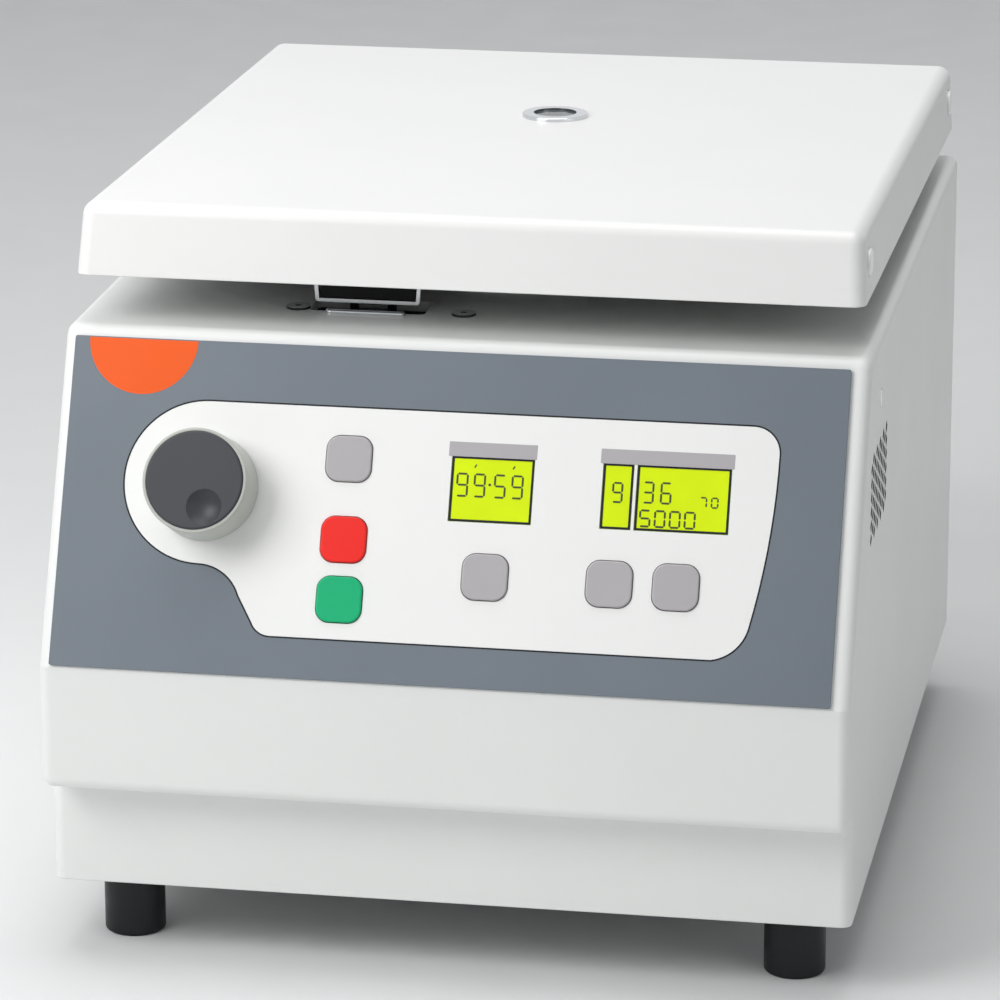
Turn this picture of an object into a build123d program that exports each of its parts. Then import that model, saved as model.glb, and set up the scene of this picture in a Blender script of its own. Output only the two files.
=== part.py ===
from build123d import *
import os
from math import atan2, cos, degrees, hypot, radians, sin, sqrt

# Bench cytocentrifuge with its lid ajar.
# Millimetres. +Z is up and the control panel faces -Y.
# The origin is the middle of the footprint, on the table.

# ---------------------------------------------------------------- fits
face_gap = 0.3  # between separate fixed pieces, and round moving soft ones
running_gap = 0.05  # radial clearance of a shaft in its bore
sliding_gap = 0.3  # round buttons and other pieces that slide
cut_past = 1.0  # how far a cut starts outside the face that it opens

# ---------------------------------------------------------------- case
case_width = 280.0
case_front = -182.2  # y of the upright lower front
case_back = 171.8
case_bottom = 26.5
deck_height = 218.0
deck_front = -132.2  # y where the deck turns down into the slanted panel
panel_drop = 108.5  # from the deck down to where the slanted panel meets the upright front
step_height = 65.0  # z of the underside of the upright front
plinth_setback = 14.2
case_wall = 3.5
case_round = 4.0
deck_round = 5.0
base_thickness = 2.5
rear_thickness = 3.0
boss_size = 14.0
boss_height = 16.0
rear_screw_rise = 35.0  # from the case's foot to the lower rear screws
boss_wall = 1.0  # round a screw's head, on the round bosses

# ---------------------------------------------------------------- feet
foot_diameter = 21.5
foot_inset_x = 22.2  # from the case side to the foot's centre
foot_inset_front = 40.0
foot_inset_rear = 31.0
foot_round = 1.2
foot_plug_diameter = 7.0
foot_plug_head = 11.0
foot_plug_head_height = 3.0

# ---------------------------------------------------------------- screws
screw_diameter = 4.0
screw_head_diameter = 7.6
screw_head_height = 2.2
low_head_diameter = 8.6  # of the two deck screws beside the latch
low_head_height = 0.8
screw_length = 10.0
screw_socket = 2.5

# ---------------------------------------------------------------- control panel
# Places on the slanted panel are given as (across, down): across from the
# middle of the case, down from the deck's edge along the slope.
panel_thickness = 1.2
overlay_margin_left = 4.2
overlay_margin_right = 6.7
overlay_margin_top = 4.0
overlay_margin_bottom = 0.7
overlay_corner = 0.8
plate_top = 24.6
plate_bottom = 105.0
plate_right = 111.2
plate_corner = 9.5
plate_side_taper = 6.7
plate_foot_rise = 12.0
plate_foot_inset = 19.2
plate_side_bow = 0.28  # where the side's arc passes, as a share of its taper
plate_foot_bow = (0.56, 0.36)  # and the lower corner's, as shares of its inset and rise
lobe_across = -86.2
lobe_down = 53.0
throat_across = -71.6
throat_down = 91.6
heel_across = -59.5
heel_width = 6.9
heel_rise = 4.6
inlay_gap = 0.15

button_size = 15.7
button_corner = 4.6
button_rise = 0.9
button_round = 0.54
button_travel = 1.0
button_flange = 1.6
button_flange_thickness = 1.2
button_places = {
    "button_lid": (-36.4, 42.6),
    "button_stop": (-36.2, 70.4),
    "button_start": (-36.2, 91.0),
    "button_time": (13.4, 80.8),
    "button_program": (56.0, 80.9),
    "button_select": (78.7, 80.9),
}
display_down = 50.9
display_height = 22.4
time_across = 13.5
time_width = 28.4
program_across = 56.6
program_width = 10.4
speed_across = 79.1
speed_width = 32.0
display_sink = 0.3
module_border = 2.4

board_thickness = 1.6
board_depth = 9.8  # from the housing's panel face in to the board's face
board_margin = 6.5  # of board round the outermost buttons
board_left = -104.0
board_right = 100.0
switch_size = 6.2
switch_body_share = 0.7  # of the switch's height
switch_stem_diameter = 3.472

knob_across = -85.8
knob_down = 54.8
knob_base_diameter = 37.0
knob_top_diameter = 36.2
knob_height = 17.0
knob_wall = 1.1
knob_skirt_round = 0.495
knob_cap_depth = 5.0
knob_cap_proud = 0.6
dimple_across = 4.2
dimple_down = 9.1
dimple_diameter = 12.4
dimple_depth = 2.4
encoder_size = 13.0
encoder_bush_diameter = 9.0
encoder_shaft_diameter = 6.0

# ---------------------------------------------------------------- chamber
chamber_y = 48.8
chamber_diameter = 216.0
chamber_floor = 113.0  # z of the bowl's floor
bowl_thickness = 1.0
bowl_floor_round = 8.0
bowl_flange_width = 6.0
bowl_drain_diameter = 34.0
gasket_width = 4.5
guard_gap = 1.0
guard_thickness = 3.0
guard_below_deck = 12.0
guard_notch_width = 30.0
guard_notch_height = 12.0

# ---------------------------------------------------------------- drive
motor_diameter = 92.0
motor_height = 62.0
motor_below_bowl = 9.0
motor_round = 3.0
motor_end_wall = 3.7
motor_collar_diameter = 26.0
motor_collar_height = 13.0
motor_ear_radius = 58.0
motor_ear_size = 18.0
motor_ear_thickness = 5.0
motor_ear_drop = 38.0  # from the motor's top face to the top of its ears
mount_diameter = 16.0
mount_count = 4
mount_stud_diameter = 5.0
mount_nut = 9.2
mount_nut_height = 4.0
shaft_diameter = 10.0
shaft_chamfer = 0.8
shaft_above_hub = 9.0

# ---------------------------------------------------------------- rotor
rotor_above_floor = 9.0
hub_diameter = 44.0
hub_height = 30.0
disc_diameter = 124.0
disc_thickness = 3.0
position_count = 4
pivot_radius = 88.0
pivot_above_floor = 35.0
fork_gap = 34.0
fork_thickness = 3.5
fork_above_pivot = 5.0
fork_below_pivot = 9.0
fork_root = 46.0  # radius where the forks start
fork_overhang = 5.0  # past the pivot
stop_thickness = 4.0
stop_height = 10.0
nut_diameter = 28.0
nut_height = 16.0
nut_round = 2.0
nut_grips = 12
nut_grip_diameter = 3.0

# ---------------------------------------------------------------- slide clips
lean_angle = 15.0  # inwards at rest; the clips stand upright at speed
slide_width = 26.0
slide_length = 76.0
slide_thickness = 1.0
slide_below_pivot = 24.0
clip_width = 30.0
clip_thickness = 1.5
clip_lip = 1.5
clip_past_slide = 1.0
flange_above_foot = 2.0
clip_window_width = 18.0
clip_window_length = 52.0
clip_window_corner = 3.0
clip_window_lift = 3.0
clip_rail_depth = 3.0  # inwards from the pivot
clip_rail_top = 20.0  # above the pivot
slide_outside = 3.0  # from the pivot out to the slide's inner face
trunnion_diameter = 4.0
trunnion_reach = 3.0  # into each fork
card_gap = 0.3  # where the filter card goes
bail_height = 3.0
bail_drop = 14.0  # below the pivot
tab_rise = 14.0  # above the pivot
tab_height = 4.0
tab_width = 4.5
bail_thickness = 1.2
sample_flange_thickness = 2.8
sample_flange_length = 68.0
sample_flange_gap = 0.5  # to each rail of the clip
funnel_diameter = 17.0
funnel_bore = 13.0
funnel_length = 46.0
funnel_offset = 11.0
funnel_below_outlet = 6.0
funnel_rib = 2.0
funnel_rib_length = 34.0
outlet_diameter = 11.0
outlet_bore = 7.0
funnel_cap_diameter = 20.0
funnel_cap_height = 3.0

# ---------------------------------------------------------------- lid
lid_inset = 3.0  # from each side of the case
lid_length = 313.0
lid_thickness = 24.5
lid_back = 183.25  # y of the lid's rear edge when it is closed
lid_gap = 9.8  # over the deck when it is closed
lid_ajar = 1.376  # degrees
lid_wall = 3.0
lid_front_lean = 5.5
lid_back_lean = 0.5
lid_side_lean = 1.4
lid_inner_round = 3.0
liner_post = 10.0
liner_post_inset = 12.0
lid_round = 5.0
liner_thickness = 1.5
liner_recess = 0.5
port_from_back = 129.5
port_diameter = 24.6
port_rise = 1.4
port_round = 0.56
port_bore = 16.0
port_barrel_wall = 1.4
port_glass_thickness = 3.0
port_glass_sink = 0.8
port_ledge = 1.0
plug_diameter = 9.4
plug_rise = 1.0
plug_round = 0.6
plugs_from_back = (15.45, 297.0)

# ---------------------------------------------------------------- hinge
hinge_y = 171.8
hinge_height = 22.0  # above the deck
hinge_inset = 42.0  # from the lid's side to the middle of a bracket
pin_diameter = 6.0
bracket_width = 12.0
bracket_barrel = 12.0
bracket_foot_length = 22.0
bracket_foot_thickness = 3.0
bracket_foot_ahead = 7.0  # from the pin's axis forward to the foot's rear edge
bracket_neck_length = 10.0
neck_turn = atan2(3, 4)  # how far the bracket's neck leans back
hinge_side_gap = 0.5
arm_thickness = 4.0
arm_barrel = 14.0
arm_length = 56.0
arm_height = 11.0
notch_gap = 2.5
notch_ahead = 14.0  # of the pin's axis, in the liner
notch_rise = 1.0  # the rear slots stop this far under the pin's axis

# ---------------------------------------------------------------- latch
latch_across = -40.5
latch_y = -97.8  # front of the striker frame
latch_drop = 13.6  # the frame hangs this far under the lid
frame_width = 39.0
frame_taper = 1.0  # each side is this much narrower at the foot
frame_bar = 1.3
frame_round = 1.2
frame_depth = 2.5
block_front_gap = 0.4
block_depth = 9.0
tongue_width = 16.0
tongue_depth = 3.0
tongue_drop = 20.3
tongue_foot = 2.1
bolt_width = 10.0
bolt_thickness = 2.6
bolt_length = 19.0
bolt_nose = 1.0
bolt_side_play = 0.45
bolt_end_play = 0.36
bolt_standoff = 3.1  # from the bolt's tip to the tongue when it is drawn back
slot_width = 41.0
slot_front_margin = 2.4
slot_length = 17.0
slot_corner = 2.0
lip_width = 28.0
lip_depth = 4.0
lip_height = 1.4
lip_round = 0.7
deck_screws = ((-65.2, -97.6), (-6.5, -97.6))
actuator_width = 34.0
actuator_length = 19.0
actuator_height = 16.0
actuator_plate = 1.5
actuator_setback = 1.0
actuator_border = 3.0
actuator_boss_wall = 2.5

# ---------------------------------------------------------------- side vent
vent_front = -126.5  # y of the first column
vent_rows = 6
vent_columns = 10
vent_pitch = 5.0
vent_hole = 3.5
vent_drop = 65.5  # from the deck to the lowest row
screen_border = 3.0
screen_thickness = 1.0
screen_pitch = 4.6
screen_hole = 3.0
screen_holes = 7
release_y = -100.5
release_drop = 22.5  # under the deck
release_diameter = 7.0
release_edge = 0.5

# ---------------------------------------------------------------- rear
inlet_inset = 48.0  # from the case side
inlet_z = 62.0
inlet_width = 52.0
inlet_height = 30.0
inlet_flange = 2.0
inlet_border = 3.0
inlet_depth = 26.0
socket_across = -10.0
socket_width = 24.5
socket_height = 16.8
socket_depth = 17.0
blade_width = 2.0
blade_height = 4.2
blade_length = 14.0
blade_spread = 7.0
blade_offset = 2.0
rocker_across = 16.0
rocker_side_gap = 0.4
rocker_pivot_inside = 2.0  # the case's rear face
rocker_dip = 0.9
rocker_width = 12.0
rocker_height = 19.8
rocker_cavity_height = 21.6
rocker_cavity_depth = 14.5
rocker_throw = 16.0  # degrees
rocker_face = 3.5  # from the pivot out to the rocker's face
rocker_body_radius = 9.0
rocker_pin_diameter = 3.0
rocker_pin_reach = 1.8
fan_inset = 44.0  # from the case side
fan_z = 92.0
fan_size = 50.0
fan_depth = 15.0
fan_bore = 46.0
fan_hub = 19.0
fan_blades = 7
fan_strut = 2.6
fan_corner = 3.0
fan_hole_pitch = 40.0
fan_spindle = 3.0
fan_pitch = 35.0  # degrees
fan_chord = 9.0
fan_blade_thickness = 1.2
fan_tip_gap = 0.2
fan_root = 1.0  # of each blade, inside the hub
louvre_count = 7
louvre_height = 3.6
louvre_pitch = 6.4
louvre_width = 42.0

# ---------------------------------------------------------------- power board
power_inset = 58.0  # from the case side
power_y = -127.2
power_width = 78.0
power_length = 58.0
power_standoff = 8.0
power_post = 6.0
power_post_inset = 4.5
transformer_across = 15.0
capacitor_across = 22.0
capacitor_pitch = 22.0
transformer_size = (38.0, 32.0, 30.0)
capacitor_diameter = 16.0
capacitor_height = 24.0

os.makedirs("parts", exist_ok=True)


def save(builder, name):
    """Labels a finished piece and writes it as its own node."""
    builder.part.label = name
    export_step(builder.part, f"parts/{name}.step")


# ================================================================ derived places
half_width = case_width / 2
lid_width = case_width - 2 * lid_inset
inlet_x = inlet_inset - half_width
fan_x = half_width - fan_inset
power_x = half_width - power_inset
inner_half = half_width - case_wall
plinth_front = case_front + plinth_setback
base_top = case_bottom + base_thickness
deck_under = deck_height - case_wall
rear_face = case_back - rear_thickness

slant_run = deck_front - case_front
slant_bottom = deck_height - panel_drop
slant_length = hypot(slant_run, panel_drop)
slant_out = Vector(0, -panel_drop / slant_length, slant_run / slant_length)
panel = Plane(origin=(0, deck_front, deck_height), x_dir=(1, 0, 0), z_dir=slant_out)

chamber = Plane(origin=(0, chamber_y, 0), x_dir=(1, 0, 0), z_dir=(0, 0, 1))
bowl_radius = chamber_diameter / 2 + bowl_thickness
gasket_base = deck_height + bowl_thickness
motor_top = chamber_floor - motor_below_bowl
ear_top = motor_top - motor_ear_drop
ear_bottom = ear_top - motor_ear_thickness
rotor_base = chamber_floor + rotor_above_floor
hub_top = rotor_base + hub_height
shaft_top = hub_top + shaft_above_hub
pivot_z = chamber_floor + pivot_above_floor

hinge_z = deck_height + hinge_height
hinge_spread = lid_width / 2 - hinge_inset
lid_bottom = deck_height + lid_gap
ajar = radians(lid_ajar)


def lid_point(y, z):
    """Where a point of the closed lid lies once the lid is ajar."""
    dy, dz = y - hinge_y, z - hinge_z
    return hinge_y + dy * cos(ajar) + dz * sin(ajar), hinge_z - dy * sin(ajar) + dz * cos(ajar)


def lid_plane(z):
    """A level of the closed lid, as a plane tipped with the lid. Its (x, y) are those of the closed lid."""
    y0, z0 = lid_point(0, z)
    return Plane(origin=(0, y0, z0), x_dir=(1, 0, 0), z_dir=(0, sin(ajar), cos(ajar)))


def lid_side(x):
    """A plane across the lid at x. Its (x, y) are the closed lid's (y, z), counted from the hinge axis."""
    return Plane(origin=(x, hinge_y, hinge_z), x_dir=(0, cos(ajar), -sin(ajar)), z_dir=(1, 0, 0))


def panel_at(across, down):
    return Location((across, -down))


lid_front = lid_back - lid_length
lid_top = lid_bottom + lid_thickness
liner_bottom = lid_bottom + liner_recess
liner_top = liner_bottom + liner_thickness
gasket_top = liner_bottom - face_gap

slot_front = latch_y - slot_front_margin
slot_back = slot_front + slot_length
tongue_back = latch_y + block_depth + tongue_depth
bolt_tip = tongue_back + bolt_standoff
tongue_bottom = lid_bottom - tongue_drop
bolt_bottom = tongue_bottom + tongue_foot + sliding_gap

vent_height = vent_pitch * (vent_rows - 1)
vent_width = vent_pitch * (vent_columns - 1)
vent_bottom = deck_height - vent_drop
release_z = deck_height - release_drop
vent_y = vent_front + vent_width / 2
vent_z = vent_bottom + (vent_height + vent_pitch / 2) / 2

foot_places = [
    (side * (half_width - foot_inset_x), y)
    for side in (-1, 1)
    for y in (case_front + foot_inset_front, case_back - foot_inset_rear)
]
boss_x = inner_half - boss_size / 2
boss_front_y = plinth_front + case_wall + boss_size / 2
boss_rear_y = rear_face - boss_size / 2
base_screw_places = [(side * boss_x, y) for side in (-1, 1) for y in (boss_front_y, boss_rear_y)]
rear_screw_z = (case_bottom + rear_screw_rise, deck_under - boss_size / 2)
rear_screw_places = [(side * boss_x, z) for side in (-1, 1) for z in rear_screw_z]


# ================================================================ case
def case_profile():
    """Outline of the case seen from its side, in (y, z)."""
    Polyline(
        (plinth_front, case_bottom),
        (plinth_front, step_height),
        (case_front, step_height),
        (case_front, slant_bottom),
        (deck_front, deck_height),
        (case_back, deck_height),
        (case_back, case_bottom),
        close=True,
    )


time_window = (time_across, time_width)
program_window = (program_across, program_width)
speed_window = (speed_across, speed_width)


def button_openings(gap):
    """Openings for the buttons, in the panel's sketch plane."""
    opening = button_size + 2 * gap
    for across, down in button_places.values():
        with Locations(panel_at(across, down)):
            RectangleRounded(opening, opening, button_corner + gap)


def window_openings(gap):
    """Openings for the display windows, in the panel's sketch plane."""
    for across, width in (time_window, program_window, speed_window):
        with Locations(panel_at(across, display_down)):
            Rectangle(width + 2 * gap, display_height + 2 * gap)


def bush_opening(gap):
    """Opening for the encoder's bush, in the panel's sketch plane."""
    with Locations(panel_at(knob_across, knob_down)):
        Circle(encoder_bush_diameter / 2 + gap)


button_downs = [down for _, down in button_places.values()]
board_top = min(button_downs) - button_size / 2 - board_margin
board_bottom = max(button_downs) + button_size / 2 + board_margin
board_post = 7.0
board_post_inset = 4.5
board_post_places = [
    (across, down)
    for across in (board_left + board_post_inset, board_right - board_post_inset)
    for down in (board_top + board_post_inset, board_bottom - board_post_inset)
]
right_side = Plane(origin=(half_width, 0, 0), x_dir=(0, 1, 0), z_dir=(1, 0, 0))
rear_side = Plane(origin=(0, case_back, 0), x_dir=(-1, 0, 0), z_dir=(0, 1, 0))
screw_hole = screw_diameter / 2 + running_gap
deck_boss_height = screw_length - bracket_foot_thickness - case_wall
bracket_screw_y = hinge_y - bracket_foot_ahead - bracket_foot_length + screw_head_diameter / 2
bracket_places = (-hinge_spread, hinge_spread)
bracket_screw_places = [(x, bracket_screw_y) for x in bracket_places]

with BuildPart() as housing:
    with BuildSketch(Plane.YZ):
        with BuildLine():
            case_profile()
        make_face()
    extrude(amount=half_width, both=True)
    across_edges = housing.edges().filter_by(Axis.X)
    fillet(across_edges.sort_by_distance((0, deck_front, deck_height))[0], deck_round)
    fillet(across_edges.sort_by_distance((0, case_front, step_height))[0], case_round)
    side_edges = housing.faces().filter_by(Axis.X).edges()
    rear_edges = side_edges.filter_by(Axis.Z).group_by(Axis.Y)[-1]
    lower_edges = side_edges.filter_by(Axis.Y).group_by(Axis.Z)[0]
    fillet([edge for edge in side_edges if edge not in rear_edges + lower_edges], case_round)
    # Hollow, open underneath and behind.
    with BuildSketch(Plane.YZ):
        with BuildLine():
            case_profile()
        make_face()
        offset(amount=-case_wall, kind=Kind.INTERSECTION, mode=Mode.REPLACE)
        with Locations((plinth_front + case_wall, case_bottom - cut_past)):
            Rectangle(case_back - plinth_front, case_wall + 2 * cut_past, align=(Align.MIN, Align.MIN))
        with Locations((rear_face - case_wall, case_bottom - cut_past)):
            mouth_height = deck_under - case_bottom + cut_past
            Rectangle(2 * case_wall + rear_thickness, mouth_height, align=(Align.MIN, Align.MIN))
    extrude(amount=inner_half, both=True, mode=Mode.SUBTRACT)
    # Corner bosses for the base plate's screws and for the rear panel's.
    with BuildSketch(Plane.XY.offset(base_top)):
        with Locations(*base_screw_places):
            Rectangle(boss_size, boss_size)
    extrude(amount=boss_height)
    with BuildSketch(rear_side.offset(-rear_thickness)):
        with Locations(*rear_screw_places):
            Rectangle(boss_size, boss_size)
    extrude(amount=-boss_height)
    # Bosses under the deck for the hinge brackets, and posts for the control board.
    with BuildSketch(Plane.XY.offset(deck_under)):
        with Locations(*bracket_screw_places):
            Circle(screw_head_diameter / 2 + boss_wall)
    extrude(amount=-deck_boss_height)
    with BuildSketch(panel.offset(-case_wall)):
        with Locations(*[panel_at(*place) for place in board_post_places]):
            Circle(board_post / 2)
    extrude(amount=case_wall - board_depth)
    # Screw holes.
    with BuildSketch(Plane.XY.offset(base_top)):
        with Locations(*base_screw_places):
            Circle(screw_hole)
    extrude(amount=screw_length - base_thickness + face_gap, mode=Mode.SUBTRACT)
    with BuildSketch(rear_side.offset(-rear_thickness)):
        with Locations(*rear_screw_places):
            Circle(screw_hole)
    extrude(amount=rear_thickness - screw_length - face_gap, mode=Mode.SUBTRACT)
    with BuildSketch(Plane.XY.offset(deck_height)):
        with Locations(*deck_screws):
            Circle(screw_hole)
        with Locations(*bracket_screw_places):
            Circle(screw_hole)
    extrude(amount=-screw_length, mode=Mode.SUBTRACT)
    # Chamber mouth and latch slot in the deck.
    with BuildSketch(Plane.XY.offset(deck_height)):
        with Locations((0, chamber_y)):
            Circle(bowl_radius + face_gap)
        with Locations((latch_across, (slot_front + slot_back) / 2)):
            RectangleRounded(slot_width, slot_length, slot_corner)
    extrude(amount=-case_wall, mode=Mode.SUBTRACT)
    # Openings in the slanted panel.
    with BuildSketch(panel):
        button_openings(sliding_gap)
        window_openings(inlay_gap)
        bush_opening(face_gap)
    extrude(amount=-case_wall, mode=Mode.SUBTRACT)
    # Air holes and the lid release plug's hole in the right side.
    with BuildSketch(right_side):
        for column in range(vent_columns):
            for row in range(vent_rows):
                rise = (row + column % 2 / 2) * vent_pitch
                with Locations(Location((vent_front + column * vent_pitch, vent_bottom + rise), 45)):
                    Rectangle(vent_hole, vent_hole)
        with Locations((release_y, release_z)):
            Circle(release_diameter / 2 + inlay_gap)
    extrude(amount=-case_wall, mode=Mode.SUBTRACT)
save(housing, "housing")

base_front = plinth_front + case_wall + face_gap
base_length = rear_face - face_gap - base_front
with BuildPart() as base_plate:
    with BuildSketch(Plane.XY.offset(case_bottom)):
        with Locations((0, base_front)):
            Rectangle(2 * (inner_half - face_gap), base_length, align=(Align.CENTER, Align.MIN))
        with Locations(*base_screw_places):
            Circle(screw_hole, mode=Mode.SUBTRACT)
        with Locations(*foot_places):
            Circle(foot_plug_diameter / 2 + face_gap, mode=Mode.SUBTRACT)
    extrude(amount=base_thickness)
save(base_plate, "base_plate")

rear_height = deck_under - face_gap - case_bottom
with BuildPart() as rear_panel:
    with BuildSketch(rear_side.offset(-rear_thickness)):
        with Locations((0, case_bottom)):
            Rectangle(2 * (inner_half - face_gap), rear_height, align=(Align.CENTER, Align.MIN))
        with Locations((-inlet_x, inlet_z)):
            Rectangle(inlet_width + 2 * face_gap, inlet_height + 2 * face_gap, mode=Mode.SUBTRACT)
        with Locations(*rear_screw_places):
            Circle(screw_hole, mode=Mode.SUBTRACT)
        with Locations((-fan_x, fan_z)):
            with GridLocations(0, louvre_pitch, 1, louvre_count):
                SlotOverall(louvre_width, louvre_height, mode=Mode.SUBTRACT)
    extrude(amount=rear_thickness)
save(rear_panel, "rear_panel")

with BuildPart() as feet:
    with BuildSketch(Plane.XY):
        with Locations(*foot_places):
            Circle(foot_diameter / 2)
    extrude(amount=case_bottom)
    fillet(feet.faces().sort_by(Axis.Z)[:4].edges(), foot_round)
    with BuildSketch(Plane.XY.offset(case_bottom)):
        with Locations(*foot_places):
            Circle(foot_plug_diameter / 2)
    extrude(amount=base_thickness)
    with BuildSketch(Plane.XY.offset(base_top)):
        with Locations(*foot_places):
            Circle(foot_plug_head / 2)
    extrude(amount=foot_plug_head_height, taper=20)
save(feet, "feet")

base_under = Plane(origin=(0, 0, case_bottom), x_dir=(1, 0, 0), z_dir=(0, 0, -1))
bracket_foot_top = Plane.XY.offset(deck_height + bracket_foot_thickness)
screw_head = (screw_head_diameter, screw_head_height)
low_head = (low_head_diameter, low_head_height)
screw_rows = (
    (base_under, [(x, -y) for x, y in base_screw_places], screw_head),
    (rear_side, rear_screw_places, screw_head),
    (Plane.XY.offset(deck_height), deck_screws, low_head),
    (bracket_foot_top, bracket_screw_places, screw_head),
)
with BuildPart() as case_screws:
    for head_plane, places, (head_diameter, head_height) in screw_rows:
        with BuildSketch(head_plane):
            with Locations(*places):
                Circle(head_diameter / 2)
        extrude(amount=head_height, taper=12)
        with BuildSketch(head_plane):
            with Locations(*places):
                Circle(screw_diameter / 2)
        extrude(amount=-screw_length)
        with BuildSketch(head_plane.offset(head_height)):
            with Locations(*places):
                RegularPolygon(screw_socket / 2, 6)
        extrude(amount=-head_height / 2, mode=Mode.SUBTRACT)
save(case_screws, "case_screws")


# ================================================================ control panel
def plate_outline():
    """The display plate's outline on the slanted panel: a lobe round the knob and a field to its right."""
    lobe = lobe_down - plate_top
    top_left = (lobe_across, -plate_top)
    top_right = (plate_right - plate_corner, -plate_top)
    corner_end = (plate_right, -plate_top - plate_corner)
    side_end = (plate_right - plate_side_taper, -plate_bottom + plate_foot_rise)
    foot_right = (plate_right - plate_foot_inset, -plate_bottom)
    foot_left = (heel_across, -plate_bottom)
    heel_end = (heel_across - heel_width, -plate_bottom + heel_rise)
    throat = (throat_across, -throat_down)
    lobe_foot = (lobe_across, -lobe_down - lobe)
    side_middle = (plate_right - plate_side_taper * plate_side_bow, -(plate_top + plate_bottom) / 2)
    foot_middle = (
        plate_right - plate_foot_inset * plate_foot_bow[0],
        -plate_bottom + plate_foot_rise * plate_foot_bow[1],
    )
    Line(top_left, top_right)
    TangentArc(top_right, corner_end, tangent=(1, 0))
    ThreePointArc(corner_end, side_middle, side_end)
    ThreePointArc(side_end, foot_middle, foot_right)
    Line(foot_right, foot_left)
    TangentArc(foot_left, heel_end, tangent=(-1, 0))
    Line(heel_end, throat)
    TangentArc(lobe_foot, throat, tangent=(1, 0))
    ThreePointArc(lobe_foot, (lobe_across - lobe, -lobe_down), top_left)


overlay_left = -half_width + overlay_margin_left
overlay_right = half_width - overlay_margin_right
overlay_height = slant_length - overlay_margin_top - overlay_margin_bottom
with BuildPart() as control_overlay:
    with BuildSketch(panel):
        with Locations(((overlay_left + overlay_right) / 2, -overlay_margin_top - overlay_height / 2)):
            RectangleRounded(overlay_right - overlay_left, overlay_height, overlay_corner)
    extrude(amount=panel_thickness)
    with BuildSketch(panel):
        with BuildLine():
            plate_outline()
        make_face()
        offset(amount=inlay_gap, mode=Mode.REPLACE)
    extrude(amount=panel_thickness, mode=Mode.SUBTRACT)
save(control_overlay, "control_overlay")

with BuildPart() as display_plate:
    with BuildSketch(panel):
        with BuildLine():
            plate_outline()
        make_face()
    extrude(amount=panel_thickness)
    with BuildSketch(panel):
        button_openings(sliding_gap)
        window_openings(inlay_gap)
        bush_opening(face_gap)
    extrude(amount=panel_thickness, mode=Mode.SUBTRACT)
save(display_plate, "display_plate")

flange_out = -case_wall - face_gap
for name, (across, down) in button_places.items():
    with BuildPart() as button:
        with BuildSketch(panel.offset(flange_out)):
            with Locations(panel_at(across, down)):
                RectangleRounded(button_size, button_size, button_corner)
        extrude(amount=panel_thickness + button_rise - flange_out)
        fillet(button.faces().sort_by(Axis(panel.origin, slant_out))[-1].edges(), button_round)
        with BuildSketch(panel.offset(flange_out)):
            with Locations(panel_at(across, down)):
                flange = button_size + 2 * button_flange
                RectangleRounded(flange, flange, button_corner + button_flange)
        extrude(amount=-button_flange_thickness)
    save(button, name)


def build_display(windows, name):
    """A display module: one block on the control board with a raised glass in each window."""
    left = min(across - width / 2 for across, width in windows) - module_border
    right = max(across + width / 2 for across, width in windows) + module_border
    with BuildPart() as display:
        with BuildSketch(panel.offset(-board_depth)):
            with Locations(panel_at((left + right) / 2, display_down)):
                Rectangle(right - left, display_height + 2 * module_border)
        extrude(amount=board_depth + flange_out)
        with BuildSketch(panel.offset(flange_out)):
            for across, width in windows:
                with Locations(panel_at(across, display_down)):
                    Rectangle(width, display_height)
        extrude(amount=panel_thickness - display_sink - flange_out)
    save(display, name)


build_display([time_window], "display_time")
build_display([program_window, speed_window], "display_speed")

switch_height = board_depth + flange_out - button_flange_thickness - button_travel - face_gap
with BuildPart() as control_board:
    with BuildSketch(panel.offset(-board_depth)):
        with Locations(panel_at((board_left + board_right) / 2, (board_top + board_bottom) / 2)):
            Rectangle(board_right - board_left, board_bottom - board_top)
    extrude(amount=-board_thickness)
    with BuildSketch(panel.offset(-board_depth)):
        for across, down in button_places.values():
            with Locations(panel_at(across, down)):
                Rectangle(switch_size, switch_size)
    extrude(amount=switch_height * switch_body_share)
    with BuildSketch(panel.offset(-board_depth + switch_height * switch_body_share)):
        for across, down in button_places.values():
            with Locations(panel_at(across, down)):
                Circle(switch_stem_diameter / 2)
    extrude(amount=switch_height * (1 - switch_body_share))
save(control_board, "control_board")

# ================================================================ setting knob
knob_seat = panel_thickness + face_gap
knob_origin = panel.from_local_coords(Vector(knob_across, -knob_down, 0))
knob_plane = Plane(origin=knob_origin, x_dir=(1, 0, 0), z_dir=slant_out)
knob_axis = Axis(knob_origin, slant_out)
pocket_floor = knob_seat + knob_height - knob_cap_depth
shaft_hole = encoder_shaft_diameter / 2 + running_gap
knob_side = degrees(atan2((knob_base_diameter - knob_top_diameter) / 2, knob_height))
pocket_radius = knob_top_diameter / 2 - knob_wall
encoder_shaft_foot = -board_depth + 2 * face_gap

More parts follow.
